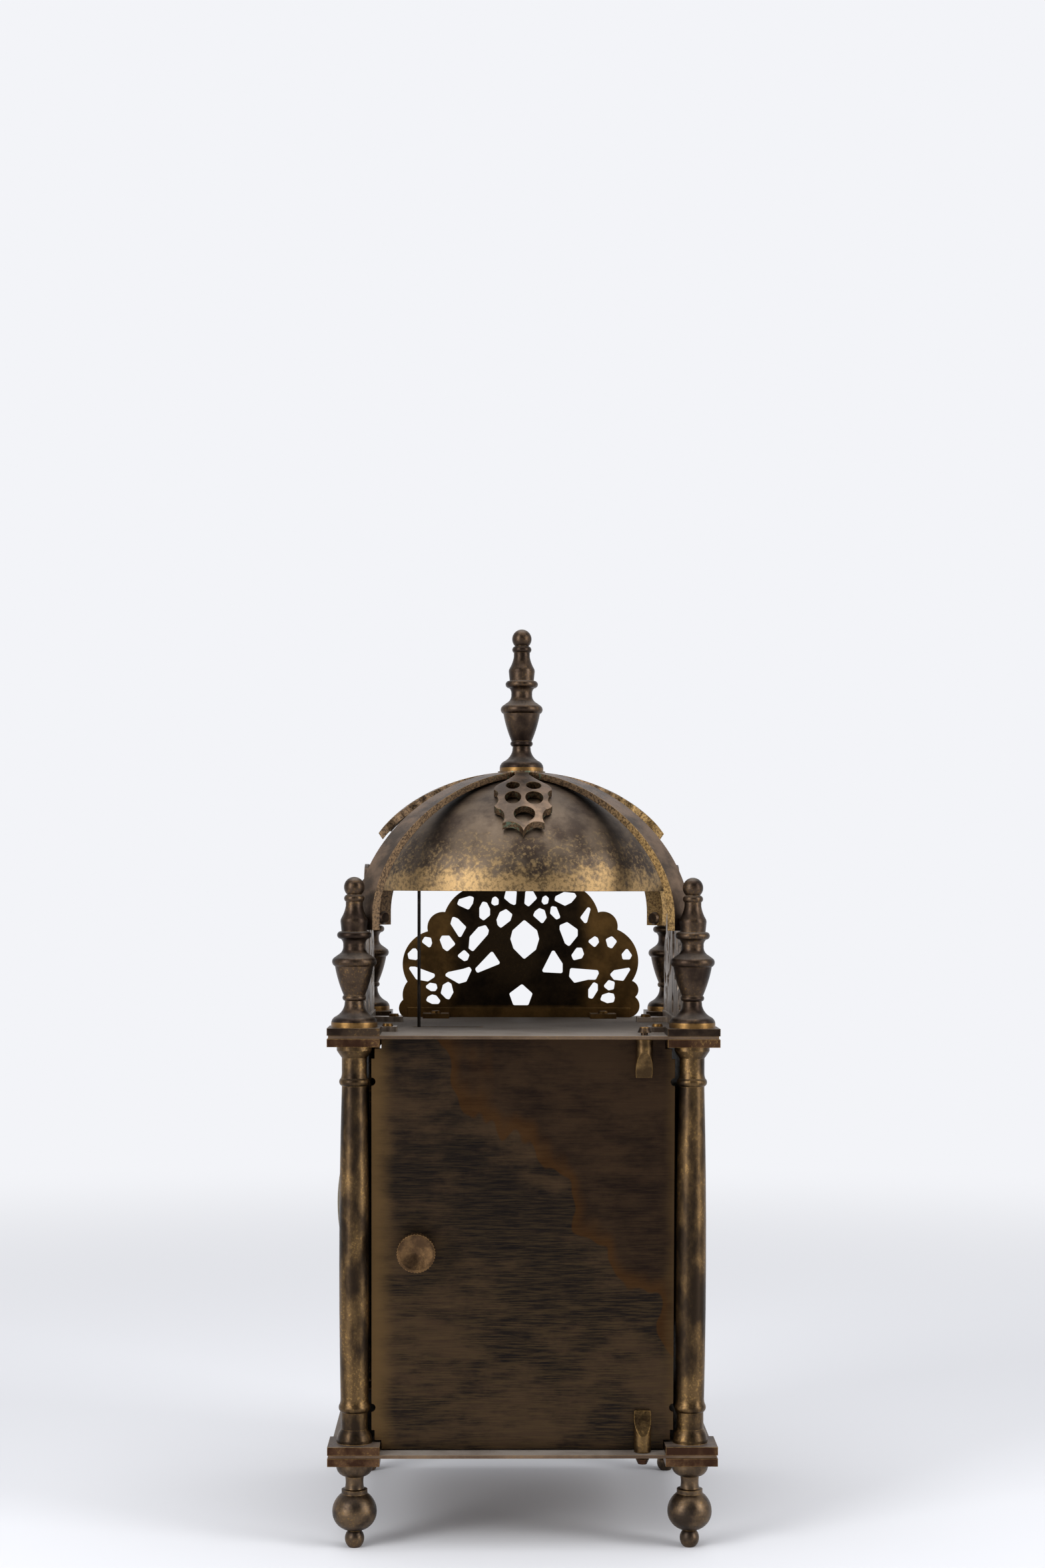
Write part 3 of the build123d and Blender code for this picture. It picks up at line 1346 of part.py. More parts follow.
def winding_arbor(at):
    """Arbor of a spring barrel, with its ratchet wheel and a square for the key."""
    x, z = at
    with BuildPart() as arbor:
        rod(barrel_arbor_r, x, z, frame_rear, frame_front)
        rod(barrel_arbor_r - 0.5, x, z, frame_front, frame_front - 5.0)
        square = upright_block(winding_square, winding_square, x, frame_front - 5.0, z)
        extrude(square, amount=frame_front - 5.0 - winding_square_end)
        ratchet_rear = frame_inner_rear - arbor_shoulder_gap
        ratchet_module = 2 * ratchet_r / ratchet_teeth
        extrude(toothed_face(ratchet_teeth, ratchet_module, 0, x, ratchet_rear, z), amount=wheel_thickness)
    return arbor.part


with BuildPart() as going_barrel:
    add(spring_barrel(barrel_at, barrel_teeth, barrel_module, barrel_phase, barrel_drum_r))
going_barrel.part.label = "going_barrel"
export_step(going_barrel.part, "parts/going_barrel.step")

with BuildPart() as strike_barrel:
    add(spring_barrel(strike_at, strike_teeth, strike_module, strike_phase, strike_drum_r))
strike_barrel.part.label = "strike_barrel"
export_step(strike_barrel.part, "parts/strike_barrel.step")

with BuildPart() as winding_arbors:
    for at in drum_points:
        add(winding_arbor(at))
winding_arbors.part.label = "winding_arbors"
export_step(winding_arbors.part, "parts/winding_arbors.step")


def add_wheel(at, teeth, module, phase, y):
    """Crossed-out wheel of the train, added to the piece in hand."""
    x, z = at
    extrude(toothed_face(teeth, module, phase, x, y, z), amount=wheel_thickness)
    opening_r = module * (teeth / 2 - tooth_dedendum) - rim_width
    extrude(crossings_face(opening_r, x, y, z), amount=wheel_thickness, mode=Mode.SUBTRACT)
    rod(hub_r, x, z, y + 1.0, y - wheel_thickness - 1.0)


def add_pinion(at, leaves, module, phase, mate_y):
    """Pinion of a few leaves, centred on the wheel at mate_y and added to the piece in hand."""
    x, z = at
    y_rear = mate_y + (pinion_length - wheel_thickness) / 2
    extrude(toothed_face(leaves, module, phase, x, y_rear, z), amount=pinion_length)

centre_arbor_front = minute_hand_y - hand_thickness - hand_nut_length
with BuildPart() as centre_arbor:
    rod(arbor_r, *centre_at, frame_inner_rear - arbor_shoulder_gap, centre_arbor_front)
    rod(arbor_pivot_r, *centre_at, frame_rear, frame_inner_rear - arbor_shoulder_gap)
    add_wheel(centre_at, centre_teeth, centre_module, centre_phase, centre_wheel_y)
    add_pinion(centre_at, centre_pinion_leaves, barrel_module, centre_pinion_phase, barrel_wheel_y)
centre_arbor.part.label = "centre_wheel"
export_step(centre_arbor.part, "parts/centre_wheel.step")

with BuildPart() as third_arbor:
    pivoted_arbor(*third_at)
    add_wheel(third_at, third_teeth, third_module, third_phase, third_wheel_y)
    add_pinion(third_at, third_pinion_leaves, centre_module, third_pinion_phase, centre_wheel_y)
third_arbor.part.label = "third_wheel"
export_step(third_arbor.part, "parts/third_wheel.step")


escape_root_r = escape_r - escape_tooth_depth


def escape_face(x, y, z):
    """Escape wheel outline with pointed, forward-leaning teeth."""
    pitch = 2 * math.pi / escape_teeth
    points = []
    for tooth in range(escape_teeth):
        base = tooth * pitch
        for radius, offset in (
            (escape_root_r, 0.0),
            (escape_r, 0.62),
            (escape_r, 0.72),
            (escape_root_r, 0.9),
        ):
            turn = base + offset * pitch
            points.append((radius * math.cos(turn), radius * math.sin(turn)))
    with BuildSketch(facing(x, y, z)) as face:
        with BuildLine():
            Polyline(*points, close=True)
        make_face()
    return face.sketch


with BuildPart() as escape_arbor:
    pivoted_arbor(*escape_at)
    extrude(escape_face(escape_at[0], escape_wheel_y, escape_at[1]), amount=wheel_thickness)
    opening = crossings_face(escape_root_r - escape_rim_width, escape_at[0], escape_wheel_y, escape_at[1])
    extrude(opening, amount=wheel_thickness, mode=Mode.SUBTRACT)
    rod(hub_r * 0.8, *escape_at, escape_wheel_y + 0.8, escape_wheel_y - wheel_thickness - 0.8)
    add_pinion(escape_at, escape_pinion_leaves, third_module, escape_pinion_phase, third_wheel_y)
escape_arbor.part.label = "escape_wheel"
export_step(escape_arbor.part, "parts/escape_wheel.step")

# Anchor, with its arbor and crutch: the pallets stand clear of the teeth by the swing
span_turn = math.radians(pallet_span)
pallet_r = escape_r + pallet_clearance
pallet_x = pallet_r * math.sin(span_turn)
pallet_z = escape_at[1] + pallet_r * math.cos(span_turn) - pallet_height
crutch_bottom = pallet_height - crutch_drop
with BuildPart() as pallet_anchor:
    rod(arbor_pivot_r, *pallet_at, cock_bar_y + cock_bar_thickness, frame_front)
    rod(arbor_r, *pallet_at, cock_bar_y - arbor_shoulder_gap, frame_inner_front + arbor_shoulder_gap)
    with BuildSketch(facing(pallet_at[0], pallet_y, pallet_at[1])) as anchor_face:
        Circle(hub_r)
        for side in (-1, 1):
            Polygon(
                (side * 1.0, 2.6),
                (side * (pallet_x + 2.6), pallet_z + 3.0),
                (side * (pallet_x + 1.6), pallet_z - 0.6),
                (side * pallet_x, pallet_z),
                (side * pallet_x * 0.9, pallet_z + 2.6),
                (side * 1.0, -2.2),
                align=None,
            )
    extrude(anchor_face.sketch, amount=pallet_thickness)
pallet_anchor.part.label = "pallet_anchor"
export_step(pallet_anchor.part, "parts/pallet_anchor.step")

with BuildPart() as crutch:
    with BuildSketch(facing(pallet_at[0], crutch_y, pallet_at[1])) as crutch_arm:
        with Locations((0, -crutch_drop / 2)):
            Rectangle(crutch_width, crutch_drop)
        Circle(crutch_width)
        Circle(arbor_r, mode=Mode.SUBTRACT)
    extrude(crutch_arm.sketch, amount=crutch_thickness)
    fork_front = crutch_y - crutch_thickness
    fork = level_block(fork_width, fork_reach - fork_front, 0, (fork_reach + fork_front) / 2, crutch_bottom)
    extrude(fork, amount=crutch_thickness)
    fork_slot_length = fork_reach - crutch_y
    fork_slot_middle = fork_reach - fork_slot_length / 2 + 2
    fork_slot_width = 2 * (pendulum_rod_r + fork_play)
    slot = level_block(fork_slot_width, fork_slot_length, 0, fork_slot_middle, crutch_bottom)
    extrude(slot, amount=crutch_thickness, mode=Mode.SUBTRACT)
crutch.part.label = "crutch"
export_step(crutch.part, "parts/crutch.step")

# Cock behind the rear plate, which carries the pallet arbor and the pendulum
cock_leg = cock_bar_y - frame_rear
with BuildPart() as back_cock:
    for side in (-1, 1):
        leg = upright_block(cock_width, cock_width, side * cock_foot_x, cock_bar_y, pallet_height)
        extrude(leg, amount=cock_leg)
    bar_height = cock_bar_rise + cock_bar_drop
    bar_middle = pallet_height + (cock_bar_rise - cock_bar_drop) / 2
    bar_width = 2 * cock_foot_x + cock_width
    bar = upright_block(bar_width, bar_height, 0, cock_bar_y + cock_bar_thickness, bar_middle)
    extrude(bar, amount=cock_bar_thickness)
    pivot_hole = disc(arbor_pivot_r + arbor_play, 0, cock_bar_y + cock_bar_thickness, pallet_height)
    extrude(pivot_hole, amount=cock_bar_thickness, mode=Mode.SUBTRACT)
    jaw_rear = pendulum_y + suspension_width / 2 + 1.0
    jaw = upright_block(6.0, cock_bar_rise, 0, jaw_rear, pallet_height + cock_bar_rise / 2)
    extrude(jaw, amount=jaw_rear - cock_bar_y - cock_bar_thickness)
back_cock.part.label = "back_cock"
export_step(back_cock.part, "parts/back_cock.step")

with BuildPart() as cock_screws:
    for side in (-1, 1):
        rod(bracket_screw_r, side * cock_foot_x, pallet_height, frame_rear, frame_inner_rear)
        head = disc(bracket_screw_head_r, side * cock_foot_x, frame_inner_rear, pallet_height)
        extrude(head, amount=bracket_screw_head_height, taper=20)
cock_screws.part.label = "cock_screws"
export_step(cock_screws.part, "parts/cock_screws.step")

spring_top = pallet_height - suspension_gap
spring_bottom = spring_top - suspension_length
with BuildPart() as suspension_spring:
    strip = level_block(suspension_strip, suspension_width, 0, pendulum_y, spring_bottom)
    extrude(strip, amount=suspension_length)
suspension_spring.part.label = "suspension_spring"
export_step(suspension_spring.part, "parts/suspension_spring.step")

bob_height = pallet_height - pendulum_length
nut_top = bob_height - bob_r - 0.2
with BuildPart() as pendulum_rod:
    hook = level_block(4.0, suspension_width + 1.6, 0, pendulum_y, spring_bottom)
    extrude(hook, amount=-4.0)
    rod_length = spring_bottom - nut_top + rating_nut_height + rod_tail
    extrude(level_disc(pendulum_rod_r, 0, pendulum_y, spring_bottom), amount=-rod_length)
pendulum_rod.part.label = "pendulum_rod"
export_step(pendulum_rod.part, "parts/pendulum_rod.step")

with BuildPart() as pendulum_bob:
    bob_profile = level(0, pendulum_y, bob_height)
    half_bob = bob_thickness / 2
    with BuildSketch(bob_profile) as bob_section:
        with BuildLine():
            Line((0, -half_bob), (0, half_bob))
            ThreePointArc((0, half_bob), (bob_r * 0.62, half_bob * 0.86), (bob_r, bob_edge / 2))
            Line((bob_r, bob_edge / 2), (bob_r, -bob_edge / 2))
            ThreePointArc((bob_r, -bob_edge / 2), (bob_r * 0.62, -half_bob * 0.86), (0, -half_bob))
        make_face()
    revolve(bob_section.sketch, axis=Axis((0, 0, bob_height), (0, 1, 0)))
    rod_hole = level_disc(pendulum_rod_r + stud_play, 0, pendulum_y, bob_height - 2 * bob_r)
    extrude(rod_hole, amount=4 * bob_r, mode=Mode.SUBTRACT)
pendulum_bob.part.label = "pendulum_bob"
export_step(pendulum_bob.part, "parts/pendulum_bob.step")

with BuildPart() as rating_nut:
    with BuildSketch(level(0, pendulum_y, nut_top - rating_nut_height)) as nut_face:
        Circle(rating_nut_r)
        Circle(pendulum_rod_r + stud_play, mode=Mode.SUBTRACT)
    extrude(nut_face.sketch, amount=rating_nut_height)
rating_nut.part.label = "rating_nut"
export_step(rating_nut.part, "parts/rating_nut.step")

# Motion work and hands
hand_front = minute_hand_y - hand_thickness
with BuildPart() as cannon_pinion:
    x, z = centre_at
    leaves = toothed_face(cannon_leaves, minute_module, cannon_phase, x, cannon_y, z, cannon_bore_r)
    extrude(leaves, amount=cannon_length)
    extrude(ring(cannon_pipe_r, cannon_bore_r, 0, cannon_y, dial_height), amount=cannon_y - minute_hand_y)
cannon_pinion.part.label = "cannon_pinion"
export_step(cannon_pinion.part, "parts/cannon_pinion.step")

with BuildPart() as minute_wheel:
    bore = minute_post_r + arbor_play
    x, z = minute_at
    extrude(toothed_face(minute_teeth, minute_module, minute_phase, x, minute_wheel_y, z, bore),
            amount=minute_wheel_thickness)
    pinion_rear = minute_wheel_y - minute_wheel_thickness
    extrude(toothed_face(minute_pinion_leaves, hour_module, minute_pinion_phase, x, pinion_rear, z, bore),
            amount=minute_pinion_length)
minute_wheel.part.label = "minute_wheel"
export_step(minute_wheel.part, "parts/minute_wheel.step")

with BuildPart() as hour_wheel:
    teeth = toothed_face(hour_teeth, hour_module, hour_phase, 0, hour_wheel_y, dial_height, hour_bore_r)
    extrude(teeth, amount=hour_wheel_thickness)
    extrude(ring(hour_pipe_r, hour_bore_r, 0, hour_wheel_y, dial_height), amount=hour_wheel_y - hour_hand_y)
hour_wheel.part.label = "hour_wheel"
export_step(hour_wheel.part, "parts/hour_wheel.step")


def hand_face(length, tail, width, boss_r, bore_r, turn, y):
    """Pointed hand with a pierced heart on its shaft, pointing straight up before it is turned."""
    stem = width * 0.28
    right_side = [
        (stem, -tail),
        (stem, length * 0.42),
        (width, length * 0.56),
        (width * 0.3, length * 0.7),
        (0, length),
    ]
    left_side = [(-x, z) for x, z in reversed(right_side[:-1])]
    with BuildSketch(turned_facing(0, y, dial_height, turn)) as face:
        with BuildLine():
            Polyline(*right_side, *left_side, close=True)
        make_face()
        Circle(boss_r)
        with Locations((0, length * 0.555)):
            Ellipse(width * 0.46, length * 0.045, mode=Mode.SUBTRACT)
        Circle(bore_r, mode=Mode.SUBTRACT)
    return face.sketch


hour_shown = 10
minute_shown = 10
minute_turn = 6 * minute_shown
hour_turn = 30 * hour_shown + minute_shown / 2
with BuildPart() as hour_hand:
    extrude(hand_face(hour_hand_length, 0.5, 6.4, 6.0, cannon_pipe_r + 0.4, hour_turn, hour_hand_y),
            amount=hand_thickness)
hour_hand.part.label = "hour_hand"
export_step(hour_hand.part, "parts/hour_hand.step")

with BuildPart() as minute_hand:
    extrude(hand_face(minute_hand_length, 12.0, 4.6, 4.4, arbor_r + arbor_play, minute_turn, minute_hand_y),
            amount=hand_thickness)
minute_hand.part.label = "minute_hand"
export_step(minute_hand.part, "parts/minute_hand.step")

with BuildPart() as hand_nut:
    extrude(ring(hand_nut_r, arbor_r, 0, hand_front, dial_height), amount=hand_nut_length)
hand_nut.part.label = "hand_nut"
export_step(hand_nut.part, "parts/hand_nut.step")

# Striking work
with BuildPart() as pin_wheel:
    pivoted_arbor(*pin_at)
    add_wheel(pin_at, pin_teeth, pin_module, pin_phase, pin_wheel_y)
    add_pinion(pin_at, pin_pinion_leaves, strike_module, pin_pinion_phase, barrel_wheel_y)
    for k in range(pin_count):
        x, z = bearing_point(*pin_at, pin_circle_r, 360 / pin_count * k)
        rod(lifting_pin_r, x, z, pin_wheel_y + lifting_pin_length, pin_wheel_y)
pin_wheel.part.label = "pin_wheel"
export_step(pin_wheel.part, "parts/pin_wheel.step")

with BuildPart() as fly:
    pivoted_arbor(*fly_at)
    add_pinion(fly_at, fly_leaves, pin_module, fly_pinion_phase, pin_wheel_y)
    vane = upright_block(2 * fly_vane_r, fly_vane_thickness, fly_at[0], fly_y, fly_at[1])
    extrude(vane, amount=fly_vane_width)
    rod(hub_r * 0.7, *fly_at, fly_y + 0.6, fly_y - fly_vane_width - 0.6)
fly.part.label = "fly"
export_step(fly.part, "parts/fly.step")

# Hammer: arbor, tail and stem in one, with the head on its top
def room_in_bell(turn):
    """How far along X the inside of the bell stands from its axis, at one point of the head's edge."""
    up = hammer_head_height - bell_rim_height + hammer_head_r * math.sin(turn)
    inner_r = (bell_r - bell_wall) * math.sqrt(1 - (up / (bell_height - bell_wall)) ** 2)
    across = hammer_stem_y + hammer_head_r * math.cos(turn)
    return math.sqrt(inner_r**2 - across**2)


nearest_room = min(room_in_bell(math.radians(turn)) for turn in range(0, 91, 5))
head_top_lever = hammer_head_height + hammer_head_r - hammer_pivot_height
strike_travel = head_top_lever * math.tan(math.radians(hammer_strike_angle))
head_face_x = nearest_room - strike_travel - bell_strike_gap
with BuildPart() as hammer_stem:
    x, z = hammer_at
    hub_rear = hammer_stem_y + hammer_hub_length / 2
    rod(arbor_pivot_r, x, z, frame_inner_front + arbor_shoulder_gap, frame_front)
    rod(arbor_r, x, z, hub_rear, frame_inner_front + arbor_shoulder_gap)
    rod(hammer_hub_r, x, z, hub_rear, frame_rear + arbor_shoulder_gap)
    rod(hammer_hub_r, x, z, hammer_tail_y + hammer_hub_length / 2, hammer_tail_y - hammer_hub_length / 2)
    stem = level_disc(hammer_stem_r, hammer_x, hammer_stem_y, hammer_pivot_height)
    extrude(stem, amount=hammer_head_height - hammer_pivot_height)
    tail_turn = direction(hammer_at, pin_at)
    tail_middle = bearing_point(*hammer_at, hammer_tail_length / 2, math.degrees(tail_turn))
    tail_plane = turned_facing(tail_middle[0], hammer_tail_y + 0.6, tail_middle[1], -math.degrees(tail_turn))
    with BuildSketch(tail_plane) as tail:
        Rectangle(hammer_tail_length, 2.2)
    extrude(tail.sketch, amount=1.2)
hammer_stem.part.label = "hammer_stem"
export_step(hammer_stem.part, "parts/hammer_stem.step")

with BuildPart() as hammer_head:
    head_rear_x = hammer_x - 4.0
    head_centre = (head_rear_x, hammer_stem_y, hammer_head_height)
    head_start = Plane(origin=head_centre, x_dir=(0, 1, 0), z_dir=(1, 0, 0))
    with BuildSketch(head_start) as head_face:
        Circle(hammer_head_r)
    extrude(head_face.sketch, amount=head_face_x - head_rear_x)
    stem_hole = level_disc(hammer_stem_r, hammer_x, hammer_stem_y, hammer_head_height - 2 * hammer_head_r)
    extrude(stem_hole, amount=2 * hammer_head_r, mode=Mode.SUBTRACT)
hammer_head.part.label = "hammer_head"
export_step(hammer_head.part, "parts/hammer_head.step")

print("centre", centre_at, "barrel", barrel_at, "third", third_at, "escape", escape_at)
print("minute", minute_at, "strike", strike_at, "pin", pin_at, "fly", fly_at)
print("back hinge", hinge_x, hinge_y, "side hinge", side_hinge_x, side_hinge_y)
print("knob", knob_x, "pallet", pallet_at, "hammer", hammer_at, "top", crown_top + finial_height)
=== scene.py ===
# %% [markdown]
# # A brass lantern clock, seen from its back door
#
# The real clock is turned, cut and pierced brass with a brown patina that took many years to grow.
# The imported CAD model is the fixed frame, in metres, with the dial facing -Y and the back door +Y. Its
# solids already have every shape of the photograph, so nothing is modelled again here. The scene gives each
# piece its patina, and then sets the floor, the light and the camera.

# %% The CAD model
import math

import bpy
from mathutils import Matrix, Vector

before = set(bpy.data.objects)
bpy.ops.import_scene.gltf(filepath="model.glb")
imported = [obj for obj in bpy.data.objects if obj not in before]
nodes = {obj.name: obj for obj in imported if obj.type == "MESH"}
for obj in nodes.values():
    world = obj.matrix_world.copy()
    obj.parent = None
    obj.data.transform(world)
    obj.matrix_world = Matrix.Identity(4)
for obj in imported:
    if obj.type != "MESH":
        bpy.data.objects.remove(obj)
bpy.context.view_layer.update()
print("pieces from the CAD model:", len(nodes))

# %% [markdown]
# ## Units and colours
#
# Colours are written as the sRGB hex codes that an eye reads off brass, and one function turns them to
# the linear light that the renderer adds up. Lengths in the patterns are in millimetres, because a speck
# or a cloud of patina is easier to judge with a ruler than in metres.

# %% Millimetres and hex colours
MM = 0.001
PER_METRE = 1000


def lin(code):
    """sRGB hex code as a linear colour."""
    parts = [int(code[k:k + 2], 16) / 255 for k in (0, 2, 4)]
    curve = [v / 12.92 if v <= 0.04045 else ((v + 0.055) / 1.055) ** 2.4 for v in parts]
    return (*curve, 1.0)


print("gold in linear light:", [round(v, 3) for v in lin("A57C3E")])

# %% [markdown]
# ## One function for every material node
#
# Each finish is a chain of nodes. It could be drawn by hand in the shader editor, but a script needs only
# one function that adds a node, gives it its settings, and fills its inputs. An input takes a number, a
# colour, a socket, or another node, whose first live output is then linked.

# %% Adding and feeding nodes
COLOUR_A, COLOUR_B = 6, 7  # places of the two colours on a Mix node
SOFT = {"interpolation_type": "SMOOTHSTEP"}


def feed(tree, node, inputs):
    """Sets or links the inputs of a node."""
    for key, value in inputs.items():
        if isinstance(value, bpy.types.Node):
            value = next(output for output in value.outputs if output.enabled)
        if isinstance(value, bpy.types.NodeSocket):
            tree.links.new(value, node.inputs[key])
        else:
            node.inputs[key].default_value = value
    return node


def add(tree, kind, inputs=None, **settings):
    """A new node with its settings and inputs."""
    made = tree.nodes.new("ShaderNode" + kind)
    for key, value in settings.items():
        setattr(made, key, value)
    return feed(tree, made, inputs or {})


print("node helpers: feed and add")

# %% [markdown]
# ## Where a point lies, and which way it faces
#
# Patina follows the object: dust lies on what faces up, and gold shows where hands have rubbed. So every
# pattern reads the object's own coordinates and normals. Patterns tied to the picture would slide over the
# brass when the camera moves.

# %% Places and directions
def millimetres(tree, stretch=(1, 1, 1)):
    """Object coordinates in millimetres, stretched along each axis."""
    coords = add(tree, "TexCoord").outputs["Object"]
    scale = [PER_METRE * share for share in stretch]
    return add(tree, "VectorMath", {0: coords, 1: scale}, operation="MULTIPLY")


def coordinate(tree, axis):
    """One object coordinate in millimetres. Z is the height above the floor."""
    return add(tree, "SeparateXYZ", {0: millimetres(tree)}).outputs[axis]


def facing(tree, axis):
    """How far the surface faces along an axis, from -1 to 1."""
    normal = add(tree, "NewGeometry").outputs["Normal"]
    return add(tree, "SeparateXYZ", {0: normal}).outputs[axis]


print("places and directions: millimetres, coordinate, facing")

# %% [markdown]
# ## Height bands
#
# A turned piece of this clock is one solid from plinth to tip, yet its plinth has another colour. It could
# be split in Blender, but its height tells the parts apart just as well and leaves the solid whole.

# %% Shares by height
BAND_EDGE = 0.1  # millimetres over which a band fades


def height_band(tree, height, bottom, top):
    """Share that is 1 between two heights in millimetres."""
    above = {"Value": height, "From Min": bottom, "From Max": bottom + BAND_EDGE}
    below = {"Value": height, "From Min": top, "From Max": top - BAND_EDGE}
    ends = {0: add(tree, "MapRange", above, **SOFT), 1: add(tree, "MapRange", below, **SOFT)}
    return add(tree, "Math", ends, operation="MULTIPLY")


def share_in_bands(tree, bands):
    """Share that is 1 inside any of the height bands."""
    height = coordinate(tree, "Z")
    share = 0.0
    for bottom, top in bands:
        share = add(tree, "Math", {0: share, 1: height_band(tree, height, bottom, top)}, operation="ADD")
    return share


print("height bands fade over", BAND_EDGE, "mm")

# %% [markdown]
# ## Worn edges and a soft bump
#
# Brass wears bright where two faces meet. A bevel node rounds the normal near an edge, and where the
# rounded normal leaves the flat one there is an edge. The same node softens the light on sharp CAD edges,
# which no hand-filed piece has.

# %% Edges
BEVEL_SAMPLES = 4
EDGE_MM = 0.3
BUMP_MM = 0.2
WEAR_START, WEAR_FULL = 0.99, 0.8  # likeness of the rounded and the flat normal


def edge_wear(tree, radius_mm):
    """Share of wear along the edges."""
    rounded = add(tree, "Bevel", {"Radius": radius_mm * MM}, samples=BEVEL_SAMPLES)
    flat = add(tree, "NewGeometry").outputs["True Normal"]
    likeness = add(tree, "VectorMath", {0: rounded, 1: flat}, operation="DOT_PRODUCT")
    return add(tree, "MapRange", {"Value": likeness, "From Min": WEAR_START, "From Max": WEAR_FULL}, **SOFT)


def rounded_bump(tree, height, strength):
    """Bump over softly rounded edges."""
    rounded = add(tree, "Bevel", {"Radius": EDGE_MM * MM}, samples=BEVEL_SAMPLES)
    return add(tree, "Bump", {"Height": height, "Strength": strength, "Distance": BUMP_MM * MM,
                              "Normal": rounded})


print("edges are rounded by", EDGE_MM, "mm")

# %% [markdown]
# ## The metal under every finish
#
# All the brass starts as a Principled metal with the default IOR. Its roughness follows the grain of the
# patina, between two values that are typical for hand-rubbed brass. Dust is no metal: where it lies, the
# metallic share falls, the colour turns to grey, and the gloss goes.

# %% Metal and dust
DUST = lin("7E766E")
DUST_DULLNESS = 0.4
GRAIN_LOW, GRAIN_HIGH = 0.3, 0.7


def start_material(name):
    """Empty material with a metal surface node."""
    material = bpy.data.materials.new(name)
    material.use_nodes = True
    tree = material.node_tree
    surface = tree.nodes["Principled BSDF"]
    surface.inputs["Metallic"].default_value = 1.0
    return material, tree, surface


def finish_surface(tree, surface, colour, grain, rough, bump=0.25, dust=None):
    """Links colour, roughness and bump, with dull dust where its share is given."""
    roughness = add(tree, "MapRange", {"Value": grain, "From Min": GRAIN_LOW, "From Max": GRAIN_HIGH,
                                       "To Min": rough[0], "To Max": rough[1]}, **SOFT)
    if dust is not None:
        colour = add(tree, "Mix", {"Factor": dust, COLOUR_A: colour, COLOUR_B: DUST}, data_type="RGBA")
        feed(tree, surface, {"Metallic": add(tree, "Math", {0: 1.0, 1: dust}, operation="SUBTRACT")})
        dulled = add(tree, "Math", {0: dust, 1: DUST_DULLNESS}, operation="MULTIPLY")
        roughness = add(tree, "Math", {0: roughness, 1: dulled}, operation="ADD")
    normal = rounded_bump(tree, grain, bump)
    feed(tree, surface, {"Base Color": colour, "Roughness": roughness, "Normal": normal})


print("dust in linear light:", [round(v, 3) for v in DUST])

# %% [markdown]
# ## Patina brass
#
# Patina is a thin brown skin that grows in clouds and lets the brass through in specks and along worn
# edges. It could be painted, but clouds and specks have no fixed place, so noise of the right size does the
# same and has no seams. Real specks are about a tenth of a millimetre. They are drawn about 1 mm wide here,
# because finer ones would not show at the size of the photograph.

# %% Patina
GRAIN_MM = 1.1


def clouded(tree, clouds, start, end, dark, light):
    """Colour that goes from dark to light where the clouds rise from start to end."""
    share = add(tree, "MapRange", {"Value": clouds, "From Min": start, "From Max": end}, **SOFT)
    colours = {"Factor": share, COLOUR_A: lin(dark), COLOUR_B: lin(light)}
    return add(tree, "Mix", colours, data_type="RGBA")


def gold_specks(tree, base, grain, clouds, gold, gold_share):
    """Fine specks of gold, mostly in the light clouds."""
    fine = add(tree, "MapRange", {"Value": grain, "From Min": 0.5, "From Max": 0.66}, **SOFT)
    light = add(tree, "MapRange", {"Value": clouds, "From Min": 0.42, "From Max": 0.7}, **SOFT)
    specks = add(tree, "Math", {0: fine, 1: light}, operation="MULTIPLY")
    share = add(tree, "Math", {0: specks, 1: gold_share}, operation="MULTIPLY")
    return add(tree, "Mix", {"Factor": share, COLOUR_A: base, COLOUR_B: gold}, data_type="RGBA")


def gold_edges(tree, base, grain, wear_mm, gold, gold_share):
    """Gold along the worn edges, broken up by the grain."""
    broken = add(tree, "MapRange", {"Value": grain, "From Min": 0.3, "From Max": 0.55, "To Min": 0.3}, **SOFT)
    worn = add(tree, "Math", {0: edge_wear(tree, wear_mm), 1: broken}, operation="MULTIPLY")
    share = add(tree, "Math", {0: worn, 1: gold_share}, operation="MULTIPLY")
    return add(tree, "Mix", {"Factor": share, COLOUR_A: base, COLOUR_B: gold}, data_type="RGBA")


def settled_dust(tree, clouds, dust_share):
    """Dust on the faces that look up, thinner in the dark clouds."""
    level = add(tree, "MapRange", {"Value": facing(tree, "Z"), "From Min": 0.55, "From Max": 0.95,
                                   "To Max": dust_share}, **SOFT)
    thin = add(tree, "MapRange", {"Value": clouds, "From Min": 0.3, "From Max": 0.6, "To Min": 0.6}, **SOFT)
    return add(tree, "Math", {0: level, 1: thin}, operation="MULTIPLY")


def patina(name, dark, middle, gold, gold_share=0.5, cloud_mm=22, stretch=(1, 1, 1), rough=(0.3, 0.5),
           wear_mm=0.7, dust_share=0.0, marks=None):
    """Aged brass with clouds, specks and worn edges, dust on its upper faces and marks of its own."""
    material, tree, surface = start_material(name)
    clouds = add(tree, "TexNoise", {"Vector": millimetres(tree, stretch), "Scale": 1 / cloud_mm,
                                    "Detail": 6.0, "Roughness": 0.6})
    grain = add(tree, "TexNoise", {"Vector": millimetres(tree), "Scale": 1 / GRAIN_MM,
                                   "Detail": 5.0, "Roughness": 0.65})
    base = clouded(tree, clouds, 0.36, 0.62, dark, middle)
    if marks:
        base = marks(tree, base, clouds)
    speckled = gold_specks(tree, base, grain, clouds, lin(gold), gold_share)
    colour = gold_edges(tree, speckled, grain, wear_mm, lin(gold), gold_share)
    dust = settled_dust(tree, clouds, dust_share) if dust_share else None
    finish_surface(tree, surface, colour, grain, rough, dust=dust)
    return material


print("patina grain in millimetres:", GRAIN_MM)

